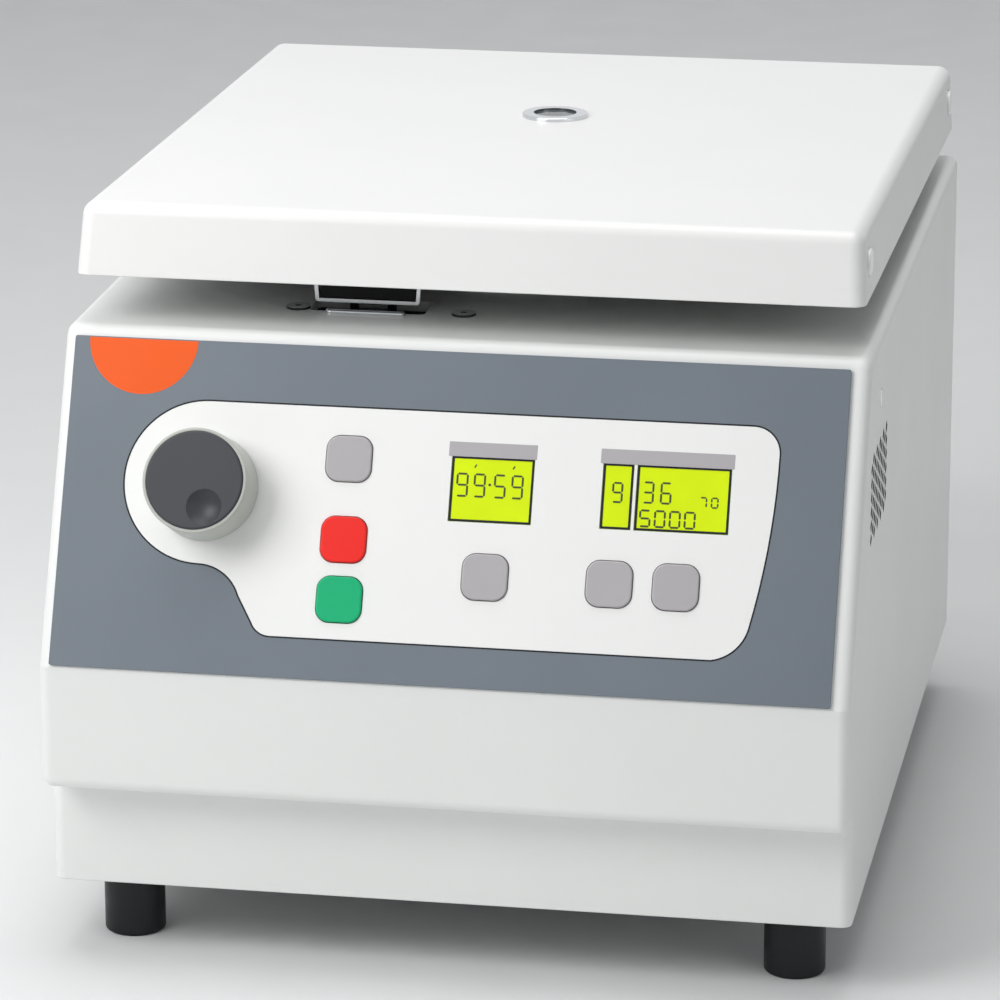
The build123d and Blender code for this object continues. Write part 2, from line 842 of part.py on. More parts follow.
with BuildPart() as knob_skirt:
    with BuildSketch(knob_plane.offset(knob_seat)):
        Circle(knob_base_diameter / 2)
    extrude(amount=knob_height, taper=knob_side)
    rim = knob_skirt.edges().filter_by(GeomType.CIRCLE).sort_by(knob_axis)[-1]
    fillet(rim, knob_skirt_round)
    with BuildSketch(knob_plane.offset(pocket_floor)):
        Circle(pocket_radius)
    extrude(amount=knob_cap_depth, mode=Mode.SUBTRACT)
    with BuildSketch(knob_plane.offset(knob_seat)):
        Circle(pocket_radius - knob_wall)
        Circle(encoder_bush_diameter / 2 + knob_wall, mode=Mode.SUBTRACT)
    extrude(amount=knob_height - knob_cap_depth - 2 * knob_wall, mode=Mode.SUBTRACT)
    with BuildSketch(knob_plane.offset(knob_seat)):
        Circle(shaft_hole)
    extrude(amount=knob_height, mode=Mode.SUBTRACT)
save(knob_skirt, "knob_skirt")

dimple_radius = (dimple_diameter**2 / 4 + dimple_depth**2) / (2 * dimple_depth)
cap_face = knob_seat + knob_height + knob_cap_proud
with BuildPart() as knob_cap:
    with BuildSketch(knob_plane.offset(pocket_floor)):
        Circle(pocket_radius - running_gap)
    extrude(amount=cap_face - pocket_floor)
    rim = knob_cap.edges().filter_by(GeomType.CIRCLE).sort_by(knob_axis)[-1]
    fillet(rim, knob_cap_proud)
    dimple_height = cap_face + dimple_radius - dimple_depth
    with Locations(knob_plane.from_local_coords(Vector(dimple_across, -dimple_down, dimple_height))):
        Sphere(dimple_radius, mode=Mode.SUBTRACT)
save(knob_cap, "knob_cap")

with BuildPart() as encoder_shaft:
    with BuildSketch(knob_plane.offset(encoder_shaft_foot)):
        Circle(encoder_shaft_diameter / 2)
    extrude(amount=pocket_floor - encoder_shaft_foot)
save(encoder_shaft, "encoder_shaft")

with BuildPart() as encoder_body:
    with BuildSketch(knob_plane.offset(-board_depth)):
        RectangleRounded(encoder_size, encoder_size, 1)
    extrude(amount=board_depth + flange_out)
    with BuildSketch(knob_plane.offset(flange_out)):
        Circle(encoder_bush_diameter / 2)
    extrude(amount=panel_thickness - flange_out)
    with BuildSketch(knob_plane.offset(encoder_shaft_foot - face_gap)):
        Circle(shaft_hole)
    extrude(amount=knob_height + board_depth, mode=Mode.SUBTRACT)
save(encoder_body, "encoder_body")

# ================================================================ chamber
chamber_axis = Axis((0, chamber_y, 0), (0, 0, 1))
chamber_radius = chamber_diameter / 2
flange_radius = bowl_radius + bowl_flange_width
with BuildPart() as chamber_bowl:
    with BuildSketch(Plane(origin=(0, chamber_y, 0), x_dir=(1, 0, 0), z_dir=(0, -1, 0))):
        with BuildLine():
            Polyline(
                (bowl_drain_diameter / 2, chamber_floor - bowl_thickness),
                (bowl_radius, chamber_floor - bowl_thickness),
                (bowl_radius, deck_height),
                (flange_radius, deck_height),
                (flange_radius, gasket_base),
                (chamber_radius, gasket_base),
                (chamber_radius, chamber_floor),
                (bowl_drain_diameter / 2, chamber_floor),
                close=True,
            )
        make_face()
        fillet(vertices().sort_by_distance((chamber_radius, chamber_floor))[0], bowl_floor_round)
        outer_round = bowl_floor_round + bowl_thickness
        fillet(vertices().sort_by_distance((bowl_radius, chamber_floor - bowl_thickness))[0], outer_round)
    revolve(axis=chamber_axis)
save(chamber_bowl, "chamber_bowl")

with BuildPart() as chamber_gasket:
    with BuildSketch(chamber.offset(gasket_base)):
        Circle(flange_radius - bowl_thickness)
        Circle(flange_radius - bowl_thickness - gasket_width, mode=Mode.SUBTRACT)
    extrude(amount=gasket_top - gasket_base)
save(chamber_gasket, "chamber_gasket")

guard_inner = bowl_radius + guard_gap
guard_height = deck_height - guard_below_deck - base_top
with BuildPart() as guard_ring:
    with BuildSketch(chamber.offset(base_top)):
        Circle(guard_inner + guard_thickness)
        Circle(guard_inner, mode=Mode.SUBTRACT)
    extrude(amount=guard_height)
    with BuildSketch(Plane(origin=(0, chamber_y, base_top), x_dir=(1, 0, 0), z_dir=(0, -1, 0))):
        Rectangle(guard_notch_width, guard_notch_height, align=(Align.CENTER, Align.MIN))
    extrude(amount=guard_inner + guard_thickness + cut_past, mode=Mode.SUBTRACT)
save(guard_ring, "guard_ring")

# ================================================================ drive
mount_start = 45
with BuildPart() as motor_housing:
    with BuildSketch(chamber.offset(motor_top - motor_height)):
        Circle(motor_diameter / 2)
    extrude(amount=motor_height)
    fillet(motor_housing.edges(), motor_round)
    with BuildSketch(chamber.offset(ear_bottom)):
        with PolarLocations(motor_ear_radius / 2, mount_count, mount_start):
            SlotOverall(motor_ear_radius + motor_ear_size, motor_ear_size)
    extrude(amount=motor_ear_thickness)
    with BuildSketch(chamber.offset(motor_top)):
        Circle(motor_collar_diameter / 2)
    extrude(amount=motor_collar_height)
    with BuildSketch(chamber.offset(ear_bottom)):
        with PolarLocations(motor_ear_radius, mount_count, mount_start):
            Circle(mount_stud_diameter / 2 + face_gap)
    extrude(amount=motor_ear_thickness, mode=Mode.SUBTRACT)
    with BuildSketch(chamber.offset(motor_top - motor_height + motor_end_wall)):
        Circle(shaft_diameter / 2 + running_gap)
    extrude(amount=motor_height + motor_collar_height, mode=Mode.SUBTRACT)
save(motor_housing, "motor_housing")

with BuildPart() as motor_mounts:
    with BuildSketch(chamber.offset(base_top)):
        with PolarLocations(motor_ear_radius, mount_count, mount_start):
            Circle(mount_diameter / 2)
    extrude(amount=ear_bottom - base_top)
    with BuildSketch(chamber.offset(ear_bottom)):
        with PolarLocations(motor_ear_radius, mount_count, mount_start):
            Circle(mount_stud_diameter / 2)
    extrude(amount=motor_ear_thickness)
    with BuildSketch(chamber.offset(ear_top)):
        with PolarLocations(motor_ear_radius, mount_count, mount_start):
            RegularPolygon(mount_nut / 2, 6)
    extrude(amount=mount_nut_height)
save(motor_mounts, "motor_mounts")

shaft_foot = motor_top - motor_height + motor_end_wall + face_gap
with BuildPart() as motor_shaft:
    with BuildSketch(chamber.offset(shaft_foot)):
        Circle(shaft_diameter / 2)
    extrude(amount=shaft_top - shaft_foot)
    chamfer(motor_shaft.edges().sort_by(Axis.Z)[-1], shaft_chamfer)
save(motor_shaft, "motor_shaft")

# ================================================================ rotor
lean = radians(lean_angle)
position_turns = [radians(45 + turn * 360 / position_count) for turn in range(position_count)]
funnel_inside = funnel_offset + funnel_diameter / 2
stop_face = pivot_radius - funnel_inside / cos(lean) - face_gap
fork_top = pivot_z + fork_above_pivot
fork_end = pivot_radius + fork_overhang


def outward(turn):
    return Vector(cos(turn), sin(turn), 0)


def sideways(turn):
    return Vector(-sin(turn), cos(turn), 0)


with BuildPart() as rotor_head:
    with BuildSketch(chamber.offset(rotor_base)):
        Circle(disc_diameter / 2)
    extrude(amount=disc_thickness)
    with BuildSketch(chamber.offset(rotor_base)):
        Circle(hub_diameter / 2)
    extrude(amount=hub_height)
    for turn in position_turns:
        # (radius, height) of one position, seen from its side
        fork_side = Plane(origin=(0, chamber_y, 0), x_dir=outward(turn), z_dir=-sideways(turn))
        for side in (-1, 1):
            with BuildSketch(fork_side.offset(side * fork_gap / 2)):
                with BuildLine():
                    Polyline(
                        (fork_root, rotor_base),
                        (disc_diameter / 2, rotor_base),
                        (fork_end, pivot_z - fork_below_pivot),
                        (fork_end, fork_top),
                        (stop_face - stop_thickness, fork_top),
                        (fork_root, pivot_z - stop_height),
                        close=True,
                    )
                make_face()
                with Locations((pivot_radius, pivot_z)):
                    Circle(trunnion_diameter / 2 + running_gap, mode=Mode.SUBTRACT)
                    notch = trunnion_diameter + 2 * running_gap
                    notch_align = (Align.CENTER, Align.MIN)
                    Rectangle(notch, fork_above_pivot, align=notch_align, mode=Mode.SUBTRACT)
            extrude(amount=side * fork_thickness)
        with BuildSketch(fork_side.offset(-fork_gap / 2)):
            with Locations((stop_face - stop_thickness, pivot_z - stop_height)):
                Rectangle(stop_thickness, stop_height, align=(Align.MIN, Align.MIN))
        extrude(amount=fork_gap)
    with BuildSketch(chamber.offset(rotor_base)):
        Circle(shaft_diameter / 2 + running_gap)
    extrude(amount=hub_height, mode=Mode.SUBTRACT)
save(rotor_head, "rotor_head")

with BuildPart() as rotor_nut:
    with BuildSketch(chamber.offset(hub_top)):
        Circle(nut_diameter / 2)
    extrude(amount=nut_height)
    fillet(rotor_nut.edges().sort_by(Axis.Z)[-1], nut_round)
    with BuildSketch(chamber.offset(hub_top)):
        with PolarLocations(nut_diameter / 2 + nut_grip_diameter / 4, nut_grips):
            Circle(nut_grip_diameter / 2)
    extrude(amount=nut_height, mode=Mode.SUBTRACT)
    with BuildSketch(chamber.offset(hub_top)):
        Circle(shaft_diameter / 2 + running_gap)
    extrude(amount=shaft_above_hub + face_gap, mode=Mode.SUBTRACT)
save(rotor_nut, "rotor_nut")

# ================================================================ slide clips, one set a position
# Each set is drawn on a plane through its trunnions: x across, y up the slide,
# z out from the rotor. The plane leans inwards with the clip.
slide_back = slide_outside + slide_thickness
clip_top = slide_length - slide_below_pivot + clip_past_slide
clip_foot = -slide_below_pivot - clip_lip
rail_inner = slide_width / 2 + face_gap
flange_inner = slide_outside - card_gap - sample_flange_thickness
flange_foot = -slide_below_pivot + flange_above_foot
window_middle = (clip_top + clip_foot) / 2 + clip_window_lift
trunnion_end = fork_gap / 2 + trunnion_reach
up = (Align.CENTER, Align.MIN)

for number, turn in enumerate(position_turns, 1):
    pivot = Vector(0, chamber_y, pivot_z) + outward(turn) * pivot_radius
    clip_out = outward(turn) * cos(lean) + Vector(0, 0, sin(lean))
    clip_plane = Plane(origin=pivot, x_dir=sideways(turn), z_dir=clip_out)
    clip_side = Plane(origin=pivot, x_dir=clip_out, z_dir=-sideways(turn))
    clip_up = clip_plane.y_dir

    with BuildPart() as slide_clip:
        with BuildSketch(clip_plane.offset(slide_back)):
            with Locations((0, clip_foot)):
                Rectangle(clip_width, clip_top - clip_foot, align=up)
            with Locations((0, window_middle)):
                RectangleRounded(
                    clip_window_width, clip_window_length, clip_window_corner, mode=Mode.SUBTRACT
                )
        extrude(amount=clip_thickness)
        with BuildSketch(clip_plane.offset(flange_inner)):
            with Locations((0, clip_foot)):
                Rectangle(clip_width, clip_lip, align=up)
        extrude(amount=slide_back - flange_inner)
        with BuildSketch(clip_plane.offset(-clip_rail_depth)):
            for side in (-1, 1):
                with Locations((side * (clip_width / 2 + rail_inner) / 2, clip_foot)):
                    Rectangle(clip_width / 2 - rail_inner, clip_rail_top - clip_foot, align=up)
        extrude(amount=slide_back + clip_rail_depth)
        with BuildSketch(clip_plane.offset(flange_inner)):
            with Locations((0, -bail_drop)):
                Rectangle(clip_width, bail_height, align=up)
            for side in (-1, 1):
                with Locations((side * (clip_width / 2 - tab_width / 2), tab_rise)):
                    Rectangle(tab_width, tab_height, align=up)
        extrude(amount=-bail_thickness)
        for side in (-1, 1):
            with BuildSketch(clip_side.offset(side * clip_width / 2)):
                Circle(trunnion_diameter / 2)
            extrude(amount=side * (trunnion_end - clip_width / 2))
    save(slide_clip, f"slide_clip_{number}")

    with BuildPart() as glass_slide:
        with BuildSketch(clip_plane.offset(slide_outside)):
            with Locations((0, -slide_below_pivot)):
                Rectangle(slide_width, slide_length, align=up)
        extrude(amount=slide_thickness)
    save(glass_slide, f"glass_slide_{number}")

    # The funnel runs up beside the flange; its outlet faces the slide.
    funnel_foot = pivot - clip_out * funnel_offset - clip_up * funnel_below_outlet
    funnel_plane = Plane(origin=funnel_foot, x_dir=sideways(turn), z_dir=clip_up)
    with BuildPart() as sample_chamber:
        with BuildSketch(clip_plane.offset(flange_inner)):
            with Locations((0, flange_foot)):
                Rectangle(2 * (rail_inner - sample_flange_gap), sample_flange_length, align=up)
        extrude(amount=sample_flange_thickness)
        with BuildSketch(clip_plane.offset(-funnel_offset)):
            Circle(outlet_diameter / 2)
        extrude(amount=funnel_offset + flange_inner)
        with BuildSketch(clip_side.offset(-funnel_rib / 2)):
            with Locations((-funnel_offset, 0)):
                Rectangle(funnel_offset + flange_inner, funnel_rib_length, align=(Align.MIN, Align.MIN))
        extrude(amount=funnel_rib)
        with BuildSketch(funnel_plane):
            Circle(funnel_diameter / 2)
        extrude(amount=funnel_length)
        with BuildSketch(funnel_plane.offset(funnel_length)):
            Circle(funnel_cap_diameter / 2)
        extrude(amount=funnel_cap_height)
        with BuildSketch(funnel_plane.offset(funnel_diameter / 2 - funnel_bore / 2)):
            Circle(funnel_bore / 2)
        extrude(amount=funnel_length + funnel_cap_height, mode=Mode.SUBTRACT)
        with BuildSketch(clip_plane.offset(-funnel_offset)):
            Circle(outlet_bore / 2)
        extrude(amount=funnel_offset + flange_inner + sample_flange_thickness, mode=Mode.SUBTRACT)
    save(sample_chamber, f"sample_chamber_{number}")


# ================================================================ lid
# Its sketches use the closed lid's coordinates, on planes that tip with it.
def lid_level(z, inset):
    """Width, length and middle of the lid's leaning walls at a height, set in by a wall."""
    rise = (z - lid_bottom) / lid_thickness
    front = lid_front + lid_front_lean * rise + inset
    back = lid_back - lid_back_lean * rise - inset
    width = lid_width - 2 * lid_side_lean * rise - 2 * inset
    return width, back - front, (front + back) / 2


port_y = lid_back - port_from_back
port_hole = port_bore / 2 + port_barrel_wall + face_gap
plug_level = lid_bottom + lid_thickness / 2
plug_places = [(lid_back - place - hinge_y, plug_level - hinge_z) for place in plugs_from_back]
plug_wall = lid_level(plug_level, 0)[0] / 2
outer_bottom = lid_level(lid_bottom, 0)
outer_top = lid_level(lid_top, 0)
inner_bottom = lid_level(lid_bottom, lid_wall)
inner_top = lid_level(lid_top - lid_wall, lid_wall)
liner_outline = lid_level(liner_top, lid_wall + face_gap)
slot_across = bracket_width + 2 * notch_gap
notch_depth = 1.5 * lid_wall
post_x = liner_outline[0] / 2 - liner_post_inset
post_reach = liner_outline[1] / 2 - liner_post_inset
post_places = [(side * post_x, liner_outline[2] + end * post_reach) for side in (-1, 1) for end in (-1, 1)]

# The space inside the shell, taken out of it below.
with BuildPart() as lid_hollow:
    with BuildSketch(lid_plane(lid_bottom)):
        with Locations((0, inner_bottom[2])):
            Rectangle(inner_bottom[0], inner_bottom[1])
    with BuildSketch(lid_plane(lid_top - lid_wall)):
        with Locations((0, inner_top[2])):
            Rectangle(inner_top[0], inner_top[1])
    loft()
    fillet(lid_hollow.faces().sort_by(Axis.Z)[-1].edges(), lid_inner_round)

with BuildPart() as lid_shell:
    with BuildSketch(lid_plane(lid_bottom)):
        with Locations((0, outer_bottom[2])):
            Rectangle(outer_bottom[0], outer_bottom[1])
    with BuildSketch(lid_plane(lid_top)):
        with Locations((0, outer_top[2])):
            Rectangle(outer_top[0], outer_top[1])
    loft()
    corner_edges = lid_shell.edges().group_by(lambda edge: round(abs(edge.tangent_at(0.5).Z)))[-1]
    fillet(corner_edges + lid_shell.faces().sort_by(Axis.Z)[-1].edges(), lid_round)
    add(lid_hollow.part, mode=Mode.SUBTRACT)
    with BuildSketch(lid_plane(liner_top)):
        with Locations(*post_places):
            Circle(liner_post / 2)
    extrude(amount=lid_top - lid_wall / 2 - liner_top)
    with BuildSketch(lid_plane(lid_bottom)):
        with Locations((0, port_y)):
            Circle(port_hole)
    extrude(amount=lid_thickness, mode=Mode.SUBTRACT)
    # Slots in the rear wall that pass round the hinge brackets.
    with BuildSketch(lid_plane(lid_bottom)):
        with Locations(*[(x, lid_back - lid_wall) for x in bracket_places]):
            Rectangle(slot_across, 2 * notch_depth)
    extrude(amount=hinge_z - notch_rise - lid_bottom, mode=Mode.SUBTRACT)
    for side in (-1, 1):
        with BuildSketch(lid_side(side * lid_width / 2)):
            with Locations(*plug_places):
                Circle(plug_diameter / 2 + face_gap)
        extrude(amount=-side * 2 * notch_depth, mode=Mode.SUBTRACT)
save(lid_shell, "lid_shell")

with BuildPart() as lid_liner:
    with BuildSketch(lid_plane(liner_bottom)):
        with Locations((0, liner_outline[2])):
            Rectangle(liner_outline[0], liner_outline[1])
        with Locations((0, port_y)):
            Circle(port_hole, mode=Mode.SUBTRACT)
        with Locations(*[(x, hinge_y - notch_ahead) for x in bracket_places]):
            Rectangle(slot_across, 4 * notch_ahead, align=up, mode=Mode.SUBTRACT)
    extrude(amount=liner_thickness)
save(lid_liner, "lid_liner")

port_top = lid_top + port_rise
glass_top = port_top - port_glass_sink
glass_bottom = glass_top - port_glass_thickness
with BuildPart() as port_ring:
    with BuildSketch(lid_plane(lid_top)):
        with Locations((0, port_y)):
            Circle(port_diameter / 2)
    extrude(amount=port_rise)
    fillet(port_ring.edges().sort_by(Axis.Z)[-1], port_round)
    with BuildSketch(lid_plane(liner_bottom)):
        with Locations((0, port_y)):
            Circle(port_bore / 2 + port_barrel_wall)
    extrude(amount=lid_top - liner_bottom)
    with BuildSketch(lid_plane(liner_bottom)):
        with Locations((0, port_y)):
            Circle(port_bore / 2 - port_ledge)
    extrude(amount=port_top - liner_bottom, mode=Mode.SUBTRACT)
    with BuildSketch(lid_plane(glass_bottom)):
        with Locations((0, port_y)):
            Circle(port_bore / 2)
    extrude(amount=port_top - glass_bottom, mode=Mode.SUBTRACT)
save(port_ring, "port_ring")

with BuildPart() as port_window:
    with BuildSketch(lid_plane(glass_bottom)):
        with Locations((0, port_y)):
            Circle(port_bore / 2 - running_gap)
    extrude(amount=port_glass_thickness)
save(port_window, "port_window")

# Each plug runs from the wall's inner face to a little proud of the outer one.
with BuildPart() as lid_plugs:
    for side in (-1, 1):
        with BuildSketch(lid_side(side * (plug_wall - lid_wall))):
            with Locations(*plug_places):
                Circle(plug_diameter / 2)
        extrude(amount=side * (lid_wall + plug_rise))
    rims = lid_plugs.edges().filter_by(GeomType.CIRCLE)
    fillet([edge for edge in rims if abs(edge.center().X) > plug_wall], plug_round)
save(lid_plugs, "lid_plugs")

# ================================================================ hinge
arm_foot = liner_top - hinge_z
arm_places = [
    side * hinge_spread + near * (bracket_width / 2 + hinge_side_gap)
    for side in (-1, 1)
    for near in (-1, 1)
]
with BuildPart() as hinge_arms:
    for number, x in enumerate(arm_places):
        away = -1 if number % 2 == 0 else 1
        with BuildSketch(lid_side(x)):
            Circle(arm_barrel / 2)
            with Locations((0, arm_foot)):
                Rectangle(arm_length, arm_height, align=(Align.MAX, Align.MIN))
            Circle(pin_diameter / 2 + running_gap, mode=Mode.SUBTRACT)
        extrude(amount=away * arm_thickness)
save(hinge_arms, "hinge_arms")

bracket_foot_back = hinge_y - bracket_foot_ahead
# The neck's faces meet the barrel at right angles to each other.
barrel_far = bracket_barrel / 2 * cos(neck_turn)
barrel_near = bracket_barrel / 2 * sin(neck_turn)
with BuildPart() as hinge_brackets:
    for x in bracket_places:
        with BuildSketch(Plane(origin=(x, 0, 0), x_dir=(0, 1, 0), z_dir=(1, 0, 0))):
            with Locations((bracket_foot_back, deck_height)):
                Rectangle(bracket_foot_length, bracket_foot_thickness, align=(Align.MAX, Align.MIN))
            with BuildLine():
                Polyline(
                    (bracket_foot_back - bracket_neck_length, deck_height + bracket_foot_thickness),
                    (bracket_foot_back, deck_height + bracket_foot_thickness),
                    (hinge_y + barrel_far, hinge_z - barrel_near),
                    (hinge_y - barrel_near, hinge_z + barrel_far),
                    close=True,
                )
            make_face()
            with Locations((hinge_y, hinge_z)):
                Circle(bracket_barrel / 2)
                Circle(pin_diameter / 2 + running_gap, mode=Mode.SUBTRACT)
        extrude(amount=bracket_width / 2, both=True)
    with BuildSketch(Plane.XY.offset(deck_height)):
        with Locations(*bracket_screw_places):
            Circle(screw_hole)
    extrude(amount=bracket_foot_thickness, mode=Mode.SUBTRACT)
save(hinge_brackets, "hinge_brackets")

pin_length = bracket_width + 2 * (hinge_side_gap + arm_thickness + hinge_side_gap)
with BuildPart() as hinge_pins:
    for x in bracket_places:
        with BuildSketch(Plane(origin=(x, hinge_y, hinge_z), x_dir=(0, 1, 0), z_dir=(1, 0, 0))):
            Circle(pin_diameter / 2)
        extrude(amount=pin_length / 2, both=True)
save(hinge_pins, "hinge_pins")

# ================================================================ latch
latch_face_y, latch_face_z = lid_point(latch_y, lid_bottom)
# (across, height over the closed lid's lower edge), facing the front
latch_face = Plane(
    origin=(0, latch_face_y, latch_face_z), x_dir=(1, 0, 0), z_dir=(0, -cos(ajar), sin(ajar))
)
frame_top = frame_width / 2
frame_foot = frame_width / 2 - frame_taper
inner_foot = -latch_drop + frame_bar
with BuildPart() as latch_frame:
    with BuildSketch(latch_face):
        with BuildLine():
            Polyline(
                (latch_across - frame_top, liner_recess),
                (latch_across - frame_foot, -latch_drop),
                (latch_across + frame_foot, -latch_drop),
                (latch_across + frame_top, liner_recess),
                close=True,
            )
        make_face()
        fillet(vertices().group_by(Axis.Y)[0], frame_round)
        with BuildLine():
            Polyline(
                (latch_across - frame_top + frame_bar, liner_recess),
                (latch_across - frame_foot + frame_bar, inner_foot),
                (latch_across + frame_foot - frame_bar, inner_foot),
                (latch_across + frame_top - frame_bar, liner_recess),
                close=True,
            )
        make_face(mode=Mode.SUBTRACT)
    extrude(amount=-frame_depth)
save(latch_frame, "latch_frame")

block_width = frame_width - 2 * (frame_bar + frame_taper + sliding_gap)
block_foot = inner_foot + face_gap
tongue_foot_height = tongue_bottom - lid_bottom
bolt_window_bottom = tongue_foot_height + tongue_foot
bolt_window_height = bolt_thickness + 2 * bolt_end_play
with BuildPart() as latch_block:
    with BuildSketch(latch_face.offset(-block_front_gap)):
        with Locations((latch_across, liner_recess)):
            Rectangle(block_width, liner_recess - block_foot, align=(Align.CENTER, Align.MAX))
    extrude(amount=block_front_gap - block_depth)
    with BuildSketch(latch_face.offset(-block_depth)):
        with Locations((latch_across, liner_recess)):
            Rectangle(tongue_width, liner_recess - tongue_foot_height, align=(Align.CENTER, Align.MAX))
        with Locations((latch_across, bolt_window_bottom)):
            Rectangle(bolt_width + 2 * bolt_side_play, bolt_window_height, align=up, mode=Mode.SUBTRACT)
    extrude(amount=-tongue_depth)
save(latch_block, "latch_block")

with BuildPart() as deck_lip:
    with BuildSketch(Plane.XY.offset(deck_height)):
        with Locations((latch_across, slot_front - lip_depth / 2)):
            SlotOverall(lip_width, lip_depth)
    extrude(amount=lip_height)
    fillet(deck_lip.faces().sort_by(Axis.Z)[-1].edges(), lip_round)
save(deck_lip, "deck_lip")

bolt_middle = bolt_tip + bolt_length / 2
with BuildPart() as latch_bolt:
    with BuildSketch(Plane.XY.offset(bolt_bottom)):
        with Locations((latch_across, bolt_middle)):
            Rectangle(bolt_width, bolt_length)
    extrude(amount=bolt_thickness)
    chamfer(latch_bolt.faces().sort_by(Axis.Y)[0].edges().sort_by(Axis.Z)[-1], bolt_nose)
save(latch_bolt, "latch_bolt")

actuator_front = bolt_tip + actuator_setback
actuator_top = deck_under - actuator_plate
actuator_plate_front = slot_front - actuator_border
actuator_plate_back = actuator_front + actuator_length + actuator_border / 2
plate_left = deck_screws[0][0] - actuator_border * 2
plate_reach = deck_screws[1][0] + actuator_border * 2
with BuildPart() as latch_actuator:
    with BuildSketch(Plane.XY.offset(actuator_top)):
        with Locations(((plate_left + plate_reach) / 2, (actuator_plate_front + actuator_plate_back) / 2)):
            Rectangle(plate_reach - plate_left, actuator_plate_back - actuator_plate_front)
        with Locations((latch_across, (slot_front + slot_back) / 2)):
            RectangleRounded(slot_width, slot_length, slot_corner, mode=Mode.SUBTRACT)
    extrude(amount=actuator_plate)
    with BuildSketch(Plane.XY.offset(actuator_top)):
        with Locations((latch_across, actuator_front + actuator_length / 2)):
            Rectangle(actuator_width, actuator_length)
        with Locations(*deck_screws):
            Circle(screw_diameter / 2 + actuator_boss_wall)
    extrude(amount=-actuator_height)
    with BuildSketch(Plane.XY.offset(bolt_bottom - running_gap)):
        with Locations((latch_across, actuator_front - cut_past)):
            channel = bolt_tip + bolt_length + face_gap - actuator_front + cut_past
            Rectangle(bolt_width + 2 * running_gap, channel, align=up)
    extrude(amount=bolt_thickness + 2 * running_gap, mode=Mode.SUBTRACT)
    with BuildSketch(Plane.XY.offset(deck_under)):
        with Locations(*deck_screws):
            Circle(screw_hole)
    extrude(amount=-screw_length + case_wall - face_gap, mode=Mode.SUBTRACT)
save(latch_actuator, "latch_actuator")

# ================================================================ side vent and release plug
screen_width = vent_width + vent_hole * sqrt(2) + 2 * screen_border
screen_height = vent_height + vent_pitch / 2 + vent_hole * sqrt(2) + 2 * screen_border
with BuildPart() as vent_screen:
    with BuildSketch(right_side.offset(-case_wall)):
        with Locations((vent_y, vent_z)):
            Rectangle(screen_width, screen_height)
            with GridLocations(screen_pitch, screen_pitch, screen_holes, screen_holes):
                Rectangle(screen_hole, screen_hole, mode=Mode.SUBTRACT)
    extrude(amount=-screen_thickness)
save(vent_screen, "vent_screen")

with BuildPart() as release_plug:
    with BuildSketch(right_side):
        with Locations((release_y, release_z)):
            Circle(release_diameter / 2)
    extrude(amount=-case_wall)
    chamfer(release_plug.edges().sort_by(Axis.X)[-1], release_edge)
save(release_plug, "release_plug")

# ================================================================ power inlet and switch
# On the rear plane x runs the other way, so a place's first number is -x.
inlet_back = rear_side.offset(inlet_flange)
pivot_depth = inlet_flange + rocker_pivot_inside
with BuildPart() as power_inlet:
    with BuildSketch(rear_side):
        with Locations((-inlet_x, inlet_z)):
            RectangleRounded(inlet_width + 2 * inlet_border, inlet_height + 2 * inlet_border, inlet_border)
    extrude(amount=inlet_flange)
    with BuildSketch(rear_side):
        with Locations((-inlet_x, inlet_z)):
            Rectangle(inlet_width, inlet_height)
    extrude(amount=-inlet_depth)
    with BuildSketch(inlet_back):
        with Locations((socket_across - inlet_x, inlet_z)):
            Rectangle(socket_width, socket_height)
    extrude(amount=-socket_depth, mode=Mode.SUBTRACT)
    with BuildSketch(inlet_back.offset(-socket_depth)):
        with Locations((socket_across - inlet_x, inlet_z + blade_offset)):
            Rectangle(blade_width, blade_height)
        with Locations((socket_across - inlet_x, inlet_z - blade_offset)):
            with GridLocations(2 * blade_spread, 0, 2, 1):
                Rectangle(blade_width, blade_height)
    extrude(amount=blade_length)
    with BuildSketch(inlet_back):
        with Locations((rocker_across - inlet_x, inlet_z)):
            Rectangle(rocker_width + 2 * rocker_side_gap, rocker_cavity_height)
    extrude(amount=-rocker_cavity_depth, mode=Mode.SUBTRACT)
    rocker_x = inlet_x - rocker_across
    rocker_y = case_back + inlet_flange - pivot_depth
    with BuildSketch(Plane(origin=(rocker_x, rocker_y, inlet_z), x_dir=(0, 1, 0), z_dir=(1, 0, 0))):
        Circle(rocker_pin_diameter / 2 + running_gap)
    pivot_hole = rocker_width / 2 + rocker_side_gap + rocker_pin_reach + face_gap
    extrude(amount=pivot_hole, both=True, mode=Mode.SUBTRACT)
save(power_inlet, "power_inlet")

rocker_rest = radians(rocker_throw / 2)
rocker_side = Plane(
    origin=(rocker_x, rocker_y, inlet_z), x_dir=(0, cos(rocker_rest), -sin(rocker_rest)), z_dir=(1, 0, 0)
)
with BuildPart() as power_rocker:
    with BuildSketch(rocker_side):
        with BuildLine():
            Polyline(
                (0, -rocker_height / 2),
                (rocker_face, -rocker_height / 2),
                (rocker_face - rocker_dip, 0),
                (rocker_face, rocker_height / 2),
                (0, rocker_height / 2),
                close=True,
            )
        make_face()
        Circle(rocker_body_radius)
        beyond = (Align.MIN, Align.CENTER)
        with Locations((rocker_face, 0)):
            Rectangle(2 * rocker_body_radius, rocker_height, align=beyond, mode=Mode.SUBTRACT)
        with BuildLine():
            Polyline(
                (rocker_face, -rocker_height / 2),
                (rocker_face - rocker_dip, 0),
                (rocker_face, rocker_height / 2),
                close=True,
            )
        make_face(mode=Mode.SUBTRACT)
    extrude(amount=rocker_width / 2, both=True)
    with BuildSketch(rocker_side):
        Circle(rocker_pin_diameter / 2)
    extrude(amount=rocker_width / 2 + rocker_side_gap + rocker_pin_reach, both=True)
save(power_rocker, "power_rocker")

